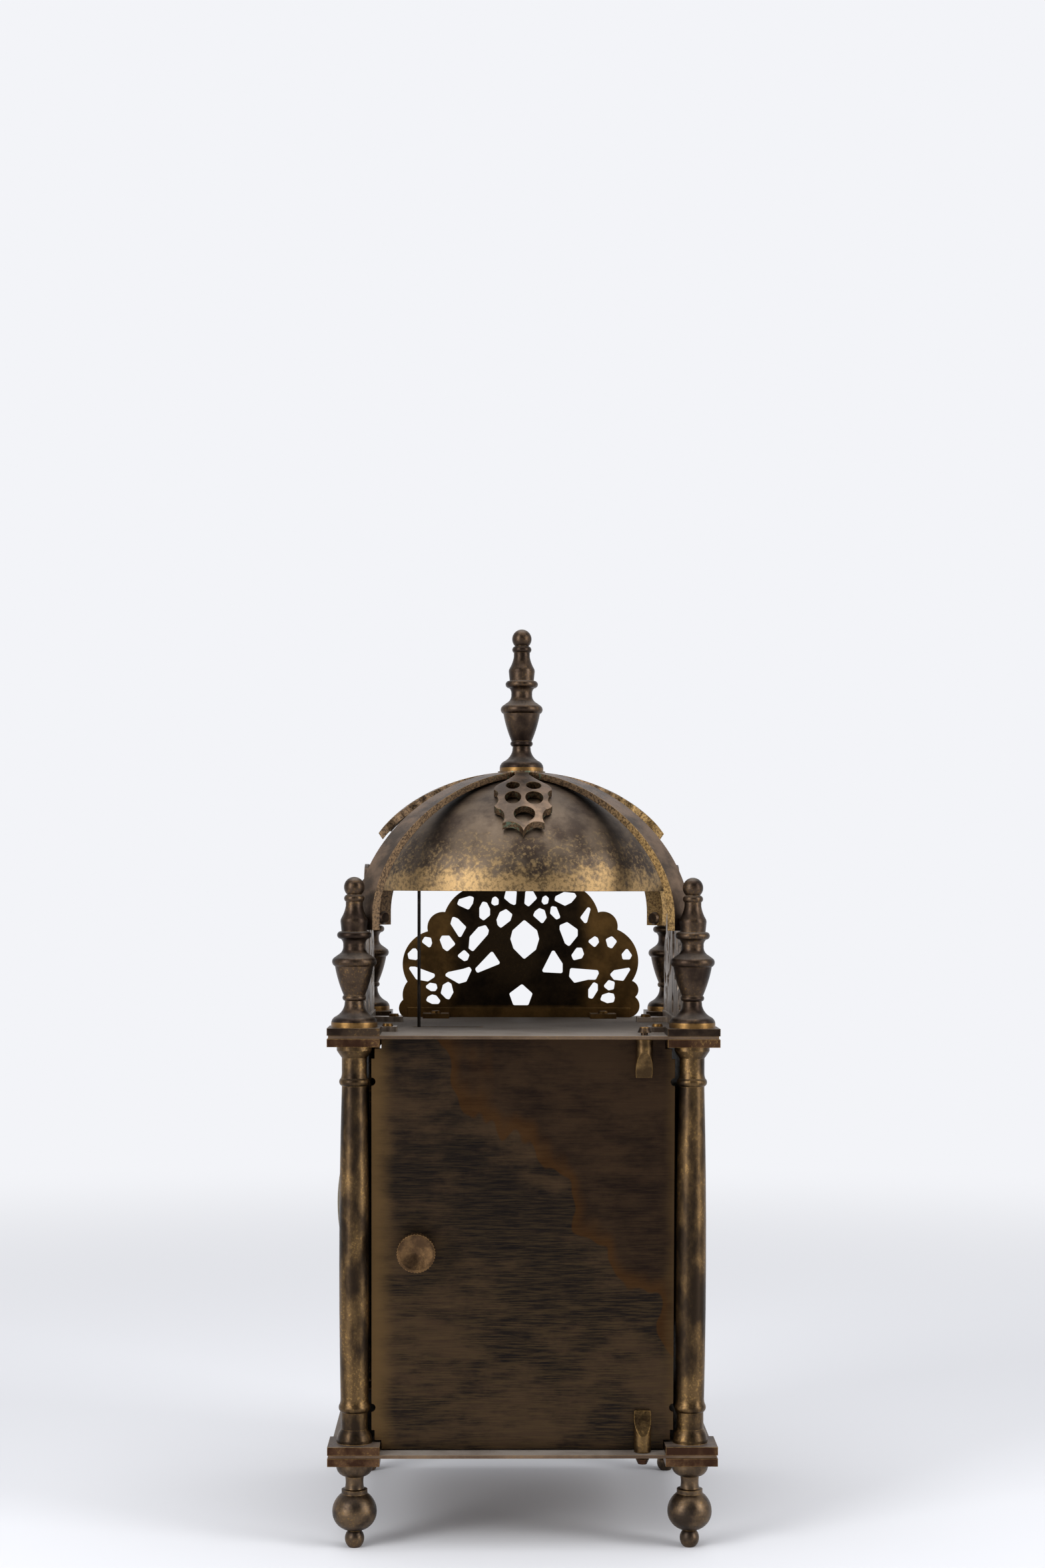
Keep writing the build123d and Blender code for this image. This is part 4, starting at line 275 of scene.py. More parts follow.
# %% [markdown]
# ## Marks on the turned pieces
#
# Finials, posts and feet were turned on a lathe and polished, then left to darken. In the photograph the
# square plinths of the posts and feet are redder than the turned brass. Above each finial's plinth a golden
# rim is painted: it is a painted highlight, for the light that the lowest turning of the finial catches.

# %% Plinths and painted golden highlights
RED_PLINTHS = ((35.9, 44.2), (209.6, 214.2))
# heights and strength of the painted golden highlight above each finial's plinth
HIGHLIGHT_RIM_HEIGHTS = ((217.4, 219.6), (325.8, 327.6))
HIGHLIGHT_RIM_SHARE = 0.55


def plinth_and_highlight_marks(tree, base, clouds):
    """Red brown plinths on the feet and posts, and a painted golden highlight above each finial's plinth."""
    red_brown = clouded(tree, clouds, 0.4, 0.6, "3A271D", "5A4230")
    plinths = {"Factor": share_in_bands(tree, RED_PLINTHS), COLOUR_A: base, COLOUR_B: red_brown}
    banded = add(tree, "Mix", plinths, data_type="RGBA")
    # painted highlight: a golden band above each finial's plinth, for the light its lowest turning catches
    rims = add(tree, "Math", {0: share_in_bands(tree, HIGHLIGHT_RIM_HEIGHTS), 1: HIGHLIGHT_RIM_SHARE}, operation="MULTIPLY")
    return add(tree, "Mix", {"Factor": rims, COLOUR_A: banded, COLOUR_B: lin("94703F")}, data_type="RGBA")


print("plinths and rims:", len(RED_PLINTHS), "and", len(HIGHLIGHT_RIM_HEIGHTS))

# %% [markdown]
# ## Marks on the frets
#
# The frets were pierced from sheet with a saw. The front one is nearly black behind, with a golden brown
# strip along its foot and golden outer lobes. The side ones get silvery streaks low on their edges and inner
# faces: a painted sheen, for the lighter look these faces have at a grazing angle. One noise drives both, so
# the marks break up with the clouds.

# %% Fret marks
FRET_STRIP = (220.5, 218.5)  # heights between which the strip comes in
FRET_LOBES = (26.0, 36.0)  # distances from the middle between which the lobes turn golden
# heights below which the painted silvery sheen comes in on the side frets
SHEEN_HEIGHTS = (272.0, 262.0)
INWARD = (50.0, 20.0)


def fret_marks(tree, base, clouds):
    """Golden brown strip along the foot of a fret, and golden outer lobes."""
    height = coordinate(tree, "Z")
    strip = add(tree, "MapRange", {"Value": height, "From Min": FRET_STRIP[0], "From Max": FRET_STRIP[1]},
                **SOFT)
    aside = add(tree, "Math", {0: coordinate(tree, "X")}, operation="ABSOLUTE")
    lobes = add(tree, "MapRange", {"Value": aside, "From Min": FRET_LOBES[0], "From Max": FRET_LOBES[1]},
                **SOFT)
    golden = add(tree, "Math", {0: strip, 1: lobes}, operation="MAXIMUM")
    broken = add(tree, "MapRange", {"Value": clouds, "From Min": 0.35, "From Max": 0.6, "To Min": 0.4},
                 **SOFT)
    share = add(tree, "Math", {0: golden, 1: broken}, operation="MULTIPLY")
    return add(tree, "Mix", {"Factor": share, COLOUR_A: base, COLOUR_B: lin("7A5C34")}, data_type="RGBA")


def silver_sheen_marks(tree, base, clouds):
    """Painted sheen: silvery streaks low on the edges and the inner face of a side fret."""
    outward = add(tree, "Math", {0: facing(tree, "X"), 1: coordinate(tree, "X")}, operation="MULTIPLY")
    inward = add(tree, "MapRange", {"Value": outward, "From Min": INWARD[0], "From Max": INWARD[1]}, **SOFT)
    lower = add(tree, "MapRange", {"Value": coordinate(tree, "Z"), "From Min": SHEEN_HEIGHTS[0],
                                   "From Max": SHEEN_HEIGHTS[1]}, **SOFT)
    share = add(tree, "Math", {0: inward, 1: lower}, operation="MULTIPLY")
    # painted sheen: inner faces and edges, seen at a grazing angle, are drawn lighter and silvery
    silvery = clouded(tree, clouds, 0.36, 0.6, "5E5147", "B0A294")
    return add(tree, "Mix", {"Factor": share, COLOUR_A: base, COLOUR_B: silvery}, data_type="RGBA")


print("fret strip below", FRET_STRIP[0], "mm")

# %% [markdown]
# ## Numerals on the chapter ring
#
# A real chapter ring is engraved, and the cuts are filled with black wax. The cuts are in the solid, 0.3 mm
# deep. Their floors could be picked out as faces, but they are the only front faces at that depth, so two
# tests find them: the surface faces the front, and it lies below the ring's face.

# %% Black wax
RING_FACE = -79.5
WAX_START, WAX_FULL = RING_FACE + 0.08, RING_FACE + 0.18


def numeral_marks(tree, base, clouds):
    """Black wax on the floor of the engraving."""
    front = add(tree, "MapRange", {"Value": facing(tree, "Y"), "From Min": -0.8, "From Max": -0.95}, **SOFT)
    sunk = add(tree, "MapRange", {"Value": coordinate(tree, "Y"), "From Min": WAX_START,
                                  "From Max": WAX_FULL}, **SOFT)
    share = add(tree, "Math", {0: front, 1: sunk}, operation="MULTIPLY")
    return add(tree, "Mix", {"Factor": share, COLOUR_A: base, COLOUR_B: lin("17120E")}, data_type="RGBA")


print("wax lies deeper than", round(WAX_START - RING_FACE, 2), "mm")

# %% [markdown]
# ## Patina of each brass piece
#
# Three colours make a finish: the dark skin, its lighter clouds, and the gold that shows through. Cloud
# sizes are about a tenth of the piece. Turned pieces are glossiest, because the lathe left them smooth.
# The case plates were only filed flat, so they are rougher and hold grey dust.

# %% Turned brass: dark and glossy, with thin bright edges
finish = {}
finish["finial"] = patina("Turned brass with dark patina", "2B221D", "483B30", "8C6C42", cloud_mm=14,
                          rough=(0.32, 0.46), wear_mm=0.4, dust_share=0.35, marks=plinth_and_highlight_marks)
finish["post"] = patina("Post brass, golden where it is worn", "2E251D", "644F35", "AC8851",
                        gold_share=0.75, cloud_mm=13, stretch=(1, 1, 0.5), rough=(0.3, 0.44),
                        wear_mm=0.4, dust_share=0.5, marks=plinth_and_highlight_marks)
finish["foot"] = patina("Foot brass, dull and worn", "3A312A", "62513F", "9A7949", cloud_mm=9,
                        rough=(0.34, 0.5), marks=plinth_and_highlight_marks)
finish["knob"] = patina("Knob bronze, handled", "4A3828", "6B5238", "A07C50", gold_share=0.4, cloud_mm=5,
                        rough=(0.32, 0.46))
print("turned finishes:", ", ".join(finish))

# %% Filed and sawn brass: matt, with broad clouds
finish["plate"] = patina("Plate brass with dusty patina", "5A4A3E", "7A6654", "A08053", gold_share=0.4,
                         cloud_mm=26, dust_share=0.95)
finish["peg"] = patina("Filed brass of the hinge pegs", "3E3020", "655034", "A9854E", cloud_mm=8)
finish["fret"] = patina("Fret brass with dark patina", "1E1812", "33281C", "5C482C", gold_share=0.4,
                        cloud_mm=18, dust_share=0.4, marks=fret_marks)
# the side frets carry a painted silvery sheen on their inner faces and edges
finish["side_fret"] = patina("Fret brass with silvery streaks", "2E251F", "4A3C31", "8A7A68",
                             gold_share=0.6, cloud_mm=7, stretch=(1, 1, 0.25), marks=silver_sheen_marks)
finish["side"] = patina("Door brass with brown patina", "2B2320", "4B3C2D", "8A6C42", gold_share=0.4,
                        cloud_mm=30, stretch=(0.4, 0.4, 1.6))
print("finishes so far:", len(finish))

# %% [markdown]
# ## Bell
#
# The bell was cast and turned. Its top is smooth grey brown, and from about 15 mm above the rim upwards the
# patina breaks into clusters of golden speckle, until the rim itself is golden. The height of each point is
# moved up and down by a 5 mm noise before it is compared, which gives clusters and no straight line. Towards
# the bell's two sides the golden rim is faded by painted shade, which stands in for the dark that the sides
# mirror.

# %% Bell finish
BELL_CLOUD_MM, CLUSTER_MM, BELL_GRAIN_MM = 17, 5.0, 1.6
CLUSTER_DRIFT_MM = 34.0
SPECK_HEIGHTS = (302.0, 288.0)
RIM_HEIGHTS = (286.0, 277.0)
# painted shade: the golden rim fades towards the bell's sides, for the dark that the sides mirror
PAINTED_SIDE_SHADE = (74.0, 54.0)  # distances from the middle between which the golden rim fades


def bell_rim_share_with_painted_shade(tree, height):
    """Golden share near the rim, faded by painted shade towards the bell's two sides."""
    # painted shade: the golden rim is weakened towards both sides, where the bell mirrors the dark straps and
    # room
    aside = add(tree, "Math", {0: coordinate(tree, "X")}, operation="ABSOLUTE")
    centred = add(tree, "MapRange", {"Value": aside, "From Min": PAINTED_SIDE_SHADE[0], "From Max": PAINTED_SIDE_SHADE[1],
                                     "To Min": 0.15}, **SOFT)
    lowest = add(tree, "MapRange", {"Value": height, "From Min": RIM_HEIGHTS[0], "From Max": RIM_HEIGHTS[1]},
                 **SOFT)
    return add(tree, "Math", {0: lowest, 1: centred}, operation="MULTIPLY")


def bell_speck_share(tree, grain, height):
    """Share of golden speckle, from nothing above to full below."""
    fine = add(tree, "MapRange", {"Value": grain, "From Min": 0.5, "From Max": 0.6}, **SOFT)
    lower = add(tree, "MapRange", {"Value": height, "From Min": SPECK_HEIGHTS[0],
                                   "From Max": SPECK_HEIGHTS[1]}, **SOFT)
    specks = add(tree, "Math", {0: fine, 1: lower}, operation="MULTIPLY")
    return add(tree, "Math", {0: specks, 1: 0.7}, operation="MULTIPLY")


def bell_finish():
    """Bell brass: grey brown and smooth above, clusters of golden speckle below."""
    material, tree, surface = start_material("Bell brass with golden speckle")
    place = millimetres(tree)
    clouds = add(tree, "TexNoise", {"Vector": place, "Scale": 1 / BELL_CLOUD_MM, "Detail": 6.0,
                                    "Roughness": 0.6})
    clusters = add(tree, "TexNoise", {"Vector": place, "Scale": 1 / CLUSTER_MM, "Detail": 5.0,
                                      "Roughness": 0.65})
    grain = add(tree, "TexNoise", {"Vector": place, "Scale": 1 / BELL_GRAIN_MM, "Detail": 6.0,
                                   "Roughness": 0.7})
    centred = add(tree, "Math", {0: clusters, 1: 0.5}, operation="SUBTRACT")
    drift = add(tree, "Math", {0: centred, 1: CLUSTER_DRIFT_MM}, operation="MULTIPLY")
    height = add(tree, "Math", {0: coordinate(tree, "Z"), 1: drift}, operation="ADD")
    base = clouded(tree, clouds, 0.36, 0.62, "40362F", "635649")
    specks = {"Factor": bell_speck_share(tree, grain, height), COLOUR_A: base, COLOUR_B: lin("8A7454")}
    speckled = add(tree, "Mix", specks, data_type="RGBA")
    low_gold = clouded(tree, grain, 0.38, 0.56, "6A5840", "9C815A")
    rim = {"Factor": bell_rim_share_with_painted_shade(tree, height), COLOUR_A: speckled, COLOUR_B: low_gold}
    finish_surface(tree, surface, add(tree, "Mix", rim, data_type="RGBA"), grain, (0.42, 0.52), 0.1)
    return material


finish["bell"] = bell_finish()
print("bell speckle below", SPECK_HEIGHTS[0], "mm")

# %% [markdown]
# ## Stain on the back door
#
# An old stain runs down from the door's upper right corner. It is a half plane at a slant, whose edge is
# made ragged by noise: amber at the edge, where the liquid dried last, and darker further in.

# %% Door stain
STAIN_SLOPE = (-0.77, 0.0, 0.64)  # direction into the stain
STAIN_CLOUD_MM, STAIN_RAGGED_MM = 22, 46.0
STAIN_EDGE = (126.4, 127.6)
AMBER_END = (138.0, 128.0)


def stain_depth(tree):
    """How far a point lies inside the stain, in millimetres along its slope."""
    slope = add(tree, "VectorMath", {0: millimetres(tree), 1: STAIN_SLOPE}, operation="DOT_PRODUCT")
    clouds = add(tree, "TexNoise", {"Vector": millimetres(tree, (1, 1, 0.6)), "Scale": 1 / STAIN_CLOUD_MM,
                                    "Detail": 2.0, "Roughness": 0.55})
    ragged = add(tree, "Math", {0: clouds, 1: STAIN_RAGGED_MM}, operation="MULTIPLY")
    return add(tree, "Math", {0: slope, 1: ragged}, operation="ADD")


def door_stain(tree, base):
    """Old stain: amber near its ragged edge, dark further in."""
    depth = stain_depth(tree)
    edge = {"Value": depth, "From Min": STAIN_EDGE[0], "From Max": STAIN_EDGE[1]}
    inside = add(tree, "MapRange", {**edge, "To Max": 0.4}, **SOFT)
    dark = {"Factor": inside, COLOUR_A: base, COLOUR_B: lin("2A1C14")}
    stained = add(tree, "Mix", dark, data_type="RGBA")
    amber_end = add(tree, "MapRange", {"Value": depth, "From Min": AMBER_END[0], "From Max": AMBER_END[1],
                                       "To Max": 0.3}, **SOFT)
    near_edge = add(tree, "Math", {0: add(tree, "MapRange", edge, **SOFT), 1: amber_end},
                    operation="MULTIPLY")
    amber = {"Factor": near_edge, COLOUR_A: stained, COLOUR_B: lin("5A3812")}
    return add(tree, "Mix", amber, data_type="RGBA")


print("stain edge is", round(STAIN_EDGE[1] - STAIN_EDGE[0], 1), "mm wide")

# %% [markdown]
# ## Back door
#
# The door is rolled sheet, rubbed crosswise with emery before it darkened. Emery leaves scratches of about
# 0.1 mm, too fine to show, so they are drawn 1 mm high and 14 mm long. Longer streaks and clouds lie over
# them, the lower half has taken more wear, and both upright borders are lighter.

# %% Door finish
BRUSH_MM, STREAK_MM, DOOR_CLOUD_MM = 1.0, 7.0, 30
DOOR_WEAR_HEIGHTS = (190.0, 80.0)
LEFT_BORDER, RIGHT_BORDER = (56.0, 66.0, 0.8), (-54.0, -60.0, 0.45)  # start, end and strength
BORDER_DRIFT_MM = 8.0


def border_share(tree, streaks):
    """Share of the lighter upright borders, with an edge that the streaks break up."""
    drift = add(tree, "Math", {0: streaks, 1: BORDER_DRIFT_MM}, operation="MULTIPLY")
    across = add(tree, "Math", {0: coordinate(tree, "X"), 1: drift}, operation="ADD")
    sides = [add(tree, "MapRange", {"Value": across, "From Min": start, "From Max": end,
                                    "To Max": strength}, **SOFT)
             for start, end, strength in (LEFT_BORDER, RIGHT_BORDER)]
    return add(tree, "Math", {0: sides[0], 1: sides[1]}, operation="MAXIMUM")


def door_base(tree, brushed, streaks):
    """Dark clouds and streaks over brown, with finer wear low on the door."""
    clouds = add(tree, "TexNoise", {"Vector": millimetres(tree, (0.7, 1.0, 1.0)),
                                    "Scale": 1 / DOOR_CLOUD_MM, "Detail": 5.0, "Roughness": 0.6})
    broad = add(tree, "Math", {0: clouds, 1: 0.6}, operation="MULTIPLY")
    narrow = add(tree, "Math", {0: streaks, 1: 0.4}, operation="MULTIPLY")
    mixed = add(tree, "Math", {0: broad, 1: narrow}, operation="ADD")
    base = clouded(tree, mixed, 0.42, 0.6, "1E1A19", "433427")
    wear = add(tree, "MapRange", {"Value": coordinate(tree, "Z"), "From Min": DOOR_WEAR_HEIGHTS[0],
                                  "From Max": DOOR_WEAR_HEIGHTS[1], "To Min": 0.25, "To Max": 0.6}, **SOFT)
    lines = add(tree, "MapRange", {"Value": brushed, "From Min": 0.4, "From Max": 0.62}, **SOFT)
    share = add(tree, "Math", {0: lines, 1: wear}, operation="MULTIPLY")
    return add(tree, "Mix", {"Factor": share, COLOUR_A: base, COLOUR_B: lin("4E3F2B")}, data_type="RGBA")


def door_finish():
    """Door sheet: fine brushing across, dark clouds, an old stain and softly golden borders."""
    material, tree, surface = start_material("Brushed door sheet with brown patina")
    brushed = add(tree, "TexNoise", {"Vector": millimetres(tree, (0.07, 1.0, 1.6)), "Scale": 1 / BRUSH_MM,
                                     "Detail": 5.0, "Roughness": 0.7})
    streaks = add(tree, "TexNoise", {"Vector": millimetres(tree, (0.3, 1.0, 1.0)), "Scale": 1 / STREAK_MM,
                                     "Detail": 5.0, "Roughness": 0.65})
    stained = door_stain(tree, door_base(tree, brushed, streaks))
    border = {"Factor": border_share(tree, streaks), COLOUR_A: stained, COLOUR_B: lin("624C30")}
    colour = add(tree, "Mix", border, data_type="RGBA")
    finish_surface(tree, surface, colour, brushed, (0.38, 0.52), 0.2)
    return material


finish["door"] = door_finish()
print("door wear grows below", DOOR_WEAR_HEIGHTS[0], "mm")

# %% [markdown]
# ## Straps and leaves
#
# The crown was cast in sand and only its outside was filed smooth. Its edges keep the grit of the sand,
# golden where they have rubbed, and verdigris sits near the middle. An edge is found by its direction:
# the straps bend over an ellipsoid, and where the surface leaves that ellipsoid's own normal it is an edge.

# %% Strap finish
STRAP_CLOUD_MM, STRAP_GRAIN_MM, VERDIGRIS_MM = 12, 0.9, 2.2
ARCH_FOOT = (0, 0, 264)
ARCH_REACH, ARCH_RISE = 93, 62
GOLD_SIDE = (-30.0, -55.0)
VERDIGRIS_REACH = (14.0, 10.0)


def strap_edge_share(tree):
    """Share that is 1 on the strap's cast edges and 0 on its filed outside."""
    squares = [1 / reach**2 for reach in (ARCH_REACH, ARCH_REACH, ARCH_RISE)]
    place = add(tree, "VectorMath", {0: millimetres(tree), 1: ARCH_FOOT}, operation="SUBTRACT")
    outward = add(tree, "VectorMath", {0: place, 1: squares}, operation="MULTIPLY")
    outward = add(tree, "VectorMath", {0: outward}, operation="NORMALIZE")
    normal = add(tree, "NewGeometry").outputs["Normal"]
    facing_out = add(tree, "VectorMath", {0: outward, 1: normal}, operation="DOT_PRODUCT")
    return add(tree, "MapRange", {"Value": facing_out, "From Min": 0.85, "From Max": 0.6}, **SOFT)


def strap_grit(tree, grain):
    """Gritty edge colour: brown, golden towards one side, with verdigris near the middle."""
    brown_grit = clouded(tree, grain, 0.38, 0.6, "4A3E34", "826A50")
    gold_grit = clouded(tree, grain, 0.38, 0.6, "6A553A", "B0905E")
    golden = add(tree, "MapRange", {"Value": coordinate(tree, "X"), "From Min": GOLD_SIDE[0],
                                    "From Max": GOLD_SIDE[1]}, **SOFT)
    gritty = add(tree, "Mix", {"Factor": golden, COLOUR_A: brown_grit, COLOUR_B: gold_grit},
                 data_type="RGBA")
    spots = add(tree, "TexNoise", {"Vector": millimetres(tree), "Scale": 1 / VERDIGRIS_MM, "Detail": 4.0,
                                   "Roughness": 0.55})
    spots = add(tree, "MapRange", {"Value": spots, "From Min": 0.54, "From Max": 0.64}, **SOFT)
    aside = add(tree, "Math", {0: coordinate(tree, "X")}, operation="ABSOLUTE")
    reach = add(tree, "MapRange", {"Value": aside, "From Min": VERDIGRIS_REACH[0],
                                   "From Max": VERDIGRIS_REACH[1], "To Max": 0.6}, **SOFT)
    green = add(tree, "Math", {0: spots, 1: reach}, operation="MULTIPLY")
    return add(tree, "Mix", {"Factor": green, COLOUR_A: gritty, COLOUR_B: lin("6F8A74")}, data_type="RGBA")


def strap_finish():
    """Straps and leaves: smooth brown outside, gritty pale brass and verdigris on their edges."""
    material, tree, surface = start_material("Strap brass, smooth outside and gritty at the edges")
    clouds = add(tree, "TexNoise", {"Vector": millimetres(tree), "Scale": 1 / STRAP_CLOUD_MM,
                                    "Detail": 6.0, "Roughness": 0.6})
    grain = add(tree, "TexNoise", {"Vector": millimetres(tree), "Scale": 1 / STRAP_GRAIN_MM,
                                   "Detail": 5.0, "Roughness": 0.7})
    smooth = clouded(tree, clouds, 0.36, 0.62, "4E433A", "7A6655")
    faces = {"Factor": strap_edge_share(tree), COLOUR_A: smooth, COLOUR_B: strap_grit(tree, grain)}
    cast = add(tree, "Mix", faces, data_type="RGBA")
    broken = add(tree, "MapRange", {"Value": grain, "From Min": 0.35, "From Max": 0.6, "To Max": 0.4}, **SOFT)
    worn = add(tree, "Math", {0: edge_wear(tree, 0.5), 1: broken}, operation="MULTIPLY")
    colour = add(tree, "Mix", {"Factor": worn, COLOUR_A: cast, COLOUR_B: lin("8C704A")}, data_type="RGBA")
    finish_surface(tree, surface, colour, grain, (0.34, 0.52), 0.35)
    return material


finish["strap"] = strap_finish()
print("strap edges turn golden from", GOLD_SIDE[0], "to", GOLD_SIDE[1], "mm")

# %% [markdown]
# ## Movement, dial and steel
#
# Behind the doors the brass has stayed bright, because it is handled less and sees less air. The dial plate
# is aged satin brass, and its ring was silvered with a rubbed-on silver salt, which looks greyer and softer
# than plate. Steel pieces are grey and oiled, and the hands and the hammer's stem are blackened iron.

# %% Inner finishes
finish["movement"] = patina("Movement brass, satin", "8A6A33", "A98443", "C9A25A", cloud_mm=14,
                            rough=(0.28, 0.4))
finish["dial"] = patina("Dial brass, aged satin", "6B5433", "8E7143", "B08E55", cloud_mm=24)
finish["chapter"] = patina("Silvered brass with black wax numerals", "6E675C", "968D7E", "A89A80",
                           gold_share=0.4, cloud_mm=24, marks=numeral_marks)
finish["steel"] = patina("Steel, grey and oiled", "4A4846", "6C6A66", "8E8B86", cloud_mm=9,
                         rough=(0.28, 0.42))
finish["iron"] = patina("Iron, blackened", "1D1A18", "2E2925", "4A4038", gold_share=0.4, cloud_mm=9,
                        rough=(0.35, 0.5))
print("finishes in all:", len(finish))

# %% [markdown]
# ## Which finish each piece gets
#
# Every solid of the clock is a node of its own, so each takes one finish as a whole. A list by finish is
# shorter than a list by piece, and shows at once what is made of the same metal.

# %% Dressing the pieces
dressed = {
    "finial": ["corner_finials", "crown_finial", "strap_screws", "hinge_screws"],
    "post": ["post_front_left", "post_front_right", "post_rear_left", "post_rear_right"],
    "foot": ["ball_feet"],
    "plate": ["top_plate", "bottom_plate"],
    "peg": ["hinge_pegs"],
    "fret": ["front_fret", "fret_screws"],
    "side_fret": ["left_fret", "right_fret"],
    "side": ["left_side_door", "right_side_door"],
    "bell": ["bell"],
    "door": ["back_door"],
    "knob": ["back_knob", "left_door_knob", "right_door_knob"],
    "strap": ["crown_straps"],
    "movement": ["front_frame_plate", "rear_frame_plate", "frame_pillars", "going_barrel", "strike_barrel",
                 "centre_wheel", "third_wheel", "escape_wheel", "cannon_pinion", "minute_wheel",
                 "hour_wheel", "pin_wheel", "fly", "back_cock", "pendulum_bob", "rating_nut",
                 "frame_brackets", "bell_nut"],
    "dial": ["dial_plate"],
    "chapter": ["chapter_ring"],
    "steel": ["pillar_nuts", "bracket_screws", "winding_arbors", "cock_screws", "suspension_spring",
              "pendulum_rod", "pallet_anchor", "crutch", "back_latch", "hand_nut", "hammer_head"],
    "iron": ["hammer_stem", "hour_hand", "minute_hand"],
}
for key, names in dressed.items():
    for name in names:
        slots = nodes[name].data.materials
        slots.clear()
        slots.append(finish[key])
print("pieces dressed:", sum(len(names) for names in dressed.values()))

# %% [markdown]
# ## Floor
#
# The photograph stands on pale paper that has no far edge. A flat round floor catches the clock's soft
# shadow, and further out it fades into the background colour by the kind of ray that looks at it, so
# the floor never lights the brass more than real paper would.

# %% Pale paper
PALE = lin("F3F4F8")
FADE_START, FADE_END = 0.35, 1.4  # metres from the clock


def floor_material():
    """Pale paper floor that fades into the background."""
    material = bpy.data.materials.new("Pale paper floor")
    material.use_nodes = True
    tree = material.node_tree
    paper = feed(tree, tree.nodes["Principled BSDF"], {"Base Color": lin("E0E1E5"), "Roughness": 0.9})
    place = add(tree, "NewGeometry").outputs["Position"]
    far = add(tree, "VectorMath", {0: place}, operation="LENGTH")
    fade = add(tree, "MapRange", {"Value": far, "From Min": FADE_START, "From Max": FADE_END}, **SOFT)
    rays = add(tree, "LightPath").outputs
    looks = {0: rays["Is Camera Ray"], 1: rays["Is Glossy Ray"]}
    seen = add(tree, "Math", looks, operation="MAXIMUM")
    seen = add(tree, "Math", {0: seen, 1: rays["Is Transmission Ray"]}, operation="MAXIMUM")
    share = add(tree, "Math", {0: fade, 1: seen}, operation="MULTIPLY")
    glow = add(tree, "Emission", {"Color": PALE, "Strength": 1.0})
    mixed = add(tree, "MixShader", {0: share, 1: paper, 2: glow})
    feed(tree, tree.nodes["Material Output"], {"Surface": mixed})
    return material


# %% Round floor
FLOOR_RADIUS, FLOOR_CORNERS = 14.0, 96
turns = [k * math.tau / FLOOR_CORNERS for k in range(FLOOR_CORNERS)]
rim = [(FLOOR_RADIUS * math.cos(turn), FLOOR_RADIUS * math.sin(turn), 0.0) for turn in turns]
floor_mesh = bpy.data.meshes.new("floor")
floor_mesh.from_pydata(rim, [], [list(range(FLOOR_CORNERS))])
floor_mesh.materials.append(floor_material())
floor = bpy.data.objects.new("floor", floor_mesh)
bpy.context.scene.collection.objects.link(floor)
print("floor radius in metres:", FLOOR_RADIUS)

# %% [markdown]
# ## Surroundings
#
# A product photo is taken in a pale room with a dark side behind the camera. The camera sees plain white,
# the metal mirrors a room that is dim towards the camera, and all other light is soft and even. One world
# can do all three, because the light path says which kind of ray is asking.

# %% Pale studio
AMBIENT = 0.5
DIM_FROM, DIM_TO = -0.1, 0.6
MIRRORED_FAR, MIRRORED_NEAR = 0.85, 0.17

world = bpy.data.worlds.new("Pale studio")
bpy.context.scene.world = world
world.use_nodes = True
tree = world.node_tree
tree.nodes.clear()
rays = add(tree, "LightPath").outputs
direction = add(tree, "TexCoord").outputs["Generated"]
towards = add(tree, "SeparateXYZ", {0: direction}).outputs["Y"]
dim = add(tree, "MapRange", {"Value": towards, "From Min": DIM_FROM, "From Max": DIM_TO,
                             "To Min": MIRRORED_FAR, "To Max": MIRRORED_NEAR}, **SOFT)
shown = add(tree, "Math", {0: rays["Is Camera Ray"], 1: rays["Is Transmission Ray"]}, operation="MAXIMUM")
mirrored = add(tree, "Math", {0: rays["Is Glossy Ray"], 1: dim}, operation="MULTIPLY")
looked_at = add(tree, "Math", {0: mirrored, 1: shown}, operation="MAXIMUM")
special = add(tree, "Math", {0: rays["Is Glossy Ray"], 1: shown}, operation="MAXIMUM")
other = add(tree, "Math", {0: 1.0, 1: special}, operation="SUBTRACT")
soft_light = add(tree, "Math", {0: other, 1: AMBIENT}, operation="MULTIPLY")
level = add(tree, "Math", {0: looked_at, 1: soft_light}, operation="ADD")
sky = add(tree, "Background", {"Color": PALE, "Strength": level})
add(tree, "OutputWorld", {"Surface": sky})
print("ambient strength:", AMBIENT)

# %% [markdown]
# ## Lamps
#
# Turned brass is read by its upright highlights. Two narrow soft boxes give them, one on each side and a
# little in front of the back door, as in the photograph, where the left one is stronger. A broad weak lamp
# above lights the top plate. Small lamps would be simpler, but would make hard glints.

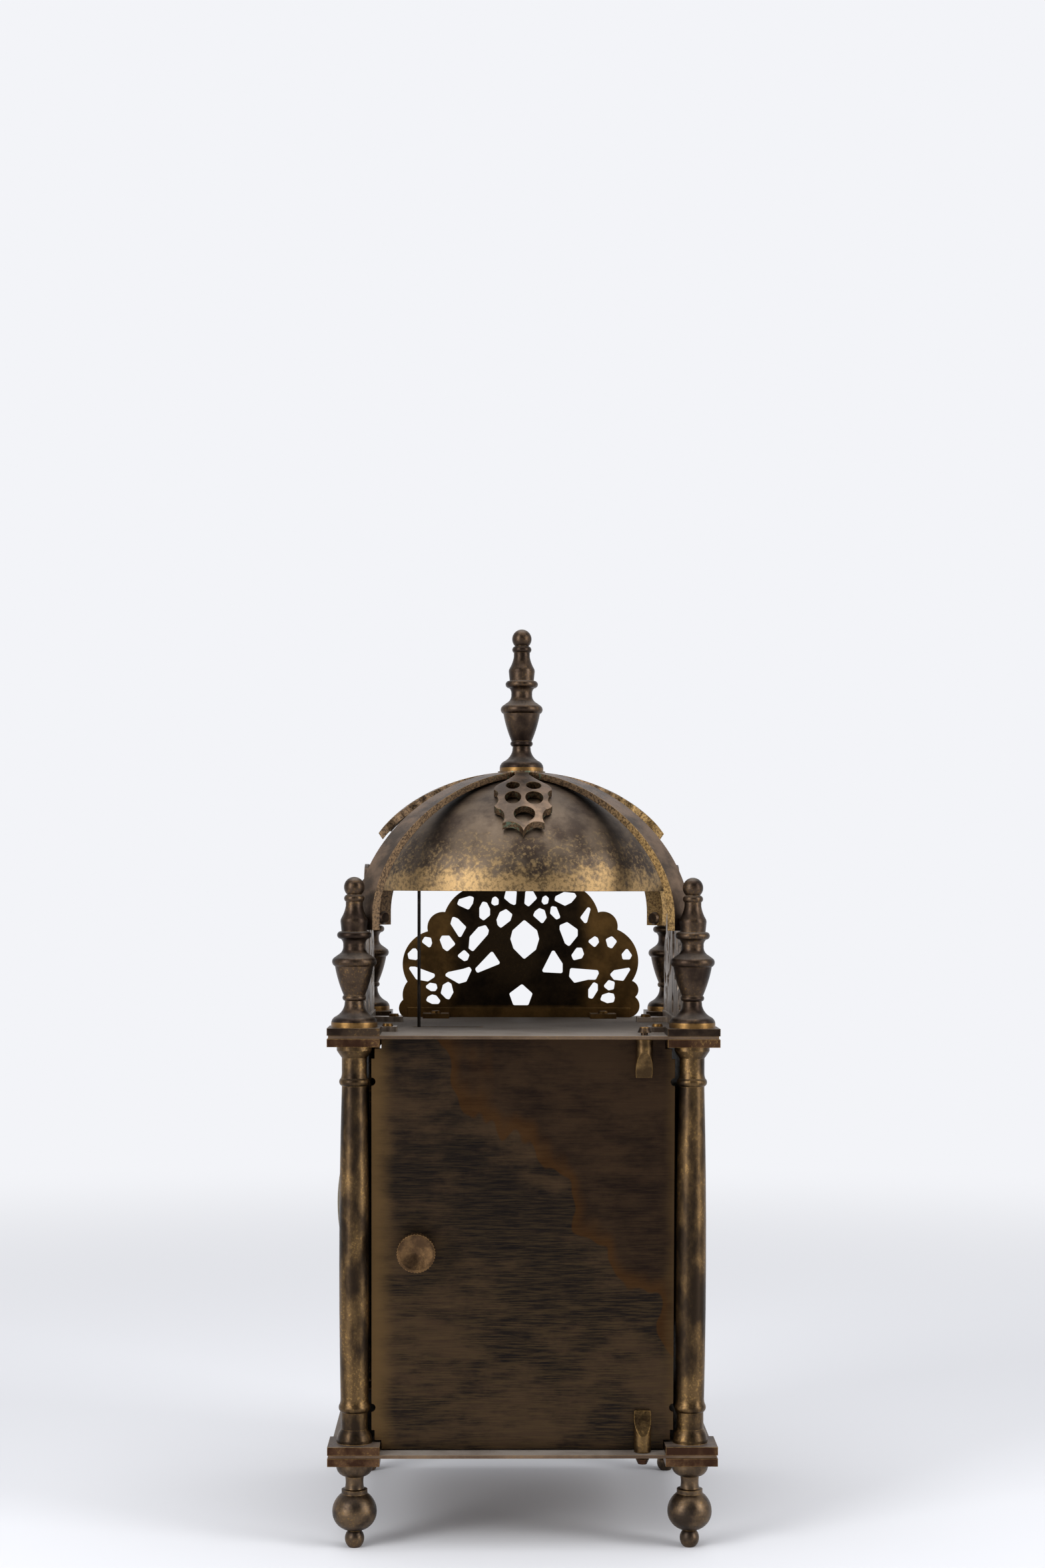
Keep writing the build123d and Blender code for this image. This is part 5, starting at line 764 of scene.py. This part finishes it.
# %% Soft boxes: place, aim, width, height and watts
lamp_plan = {
    "lamp_left": ((1.05, 1.05, 0.65), (0, 0, 0.2), 0.6, 1.3, 18),
    "lamp_right": ((-1.3, 0.75, 0.65), (0, 0, 0.2), 0.5, 1.3, 14),
    "lamp_above": ((0, 0.2, 1.7), (0, 0, 0.1), 1.4, 1.4, 15),
}
for name, (where, aim, width, height, watts) in lamp_plan.items():
    light = bpy.data.lights.new(name, "AREA")
    light.shape = "RECTANGLE"
    light.size = width
    light.size_y = height
    light.energy = watts
    holder = bpy.data.objects.new(name, light)
    bpy.context.scene.collection.objects.link(holder)
    holder.location = where
    holder.rotation_euler = (Vector(aim) - Vector(where)).to_track_quat("-Z", "Y").to_euler()
print("lamps:", ", ".join(lamp_plan))

# %% [markdown]
# ## Camera
#
# The camera was fitted to the photograph: its place, its slight downward tilt and its lens. The photograph
# was cropped, so its middle isn't where the lens looked. Blender's shift moves the frame in the same way
# and keeps the clock's upright lines as they are.

# %% Camera
PHOTO_HEIGHT = 2353
FOCAL_PIXELS = 3855.0
CENTRE_ROW = 1500.0
SENSOR_MM = 36.0
EYE = Vector((0.0173, 1.1326, 0.2779))
YAW, PITCH, ROLL = math.radians(0.91), math.radians(2.64), math.radians(0.15)

camera_data = bpy.data.cameras.new("photo_camera")
camera_data.sensor_fit = "VERTICAL"
camera_data.sensor_height = SENSOR_MM
camera_data.lens = SENSOR_MM * FOCAL_PIXELS / PHOTO_HEIGHT
camera_data.shift_y = (CENTRE_ROW - PHOTO_HEIGHT / 2) / PHOTO_HEIGHT
camera_data.clip_end = 50.0
camera = bpy.data.objects.new("photo_camera", camera_data)
bpy.context.scene.collection.objects.link(camera)
ahead = Vector((-math.sin(YAW) * math.cos(PITCH), -math.cos(YAW) * math.cos(PITCH), -math.sin(PITCH)))
level_turn = ahead.to_track_quat("-Z", "Y").to_matrix().to_4x4()
camera.matrix_world = Matrix.Translation(EYE) @ level_turn @ Matrix.Rotation(ROLL, 4, "Z")
bpy.context.scene.camera = camera
bpy.context.scene.view_settings.view_transform = "Standard"
print("lens in millimetres:", round(camera_data.lens, 1))
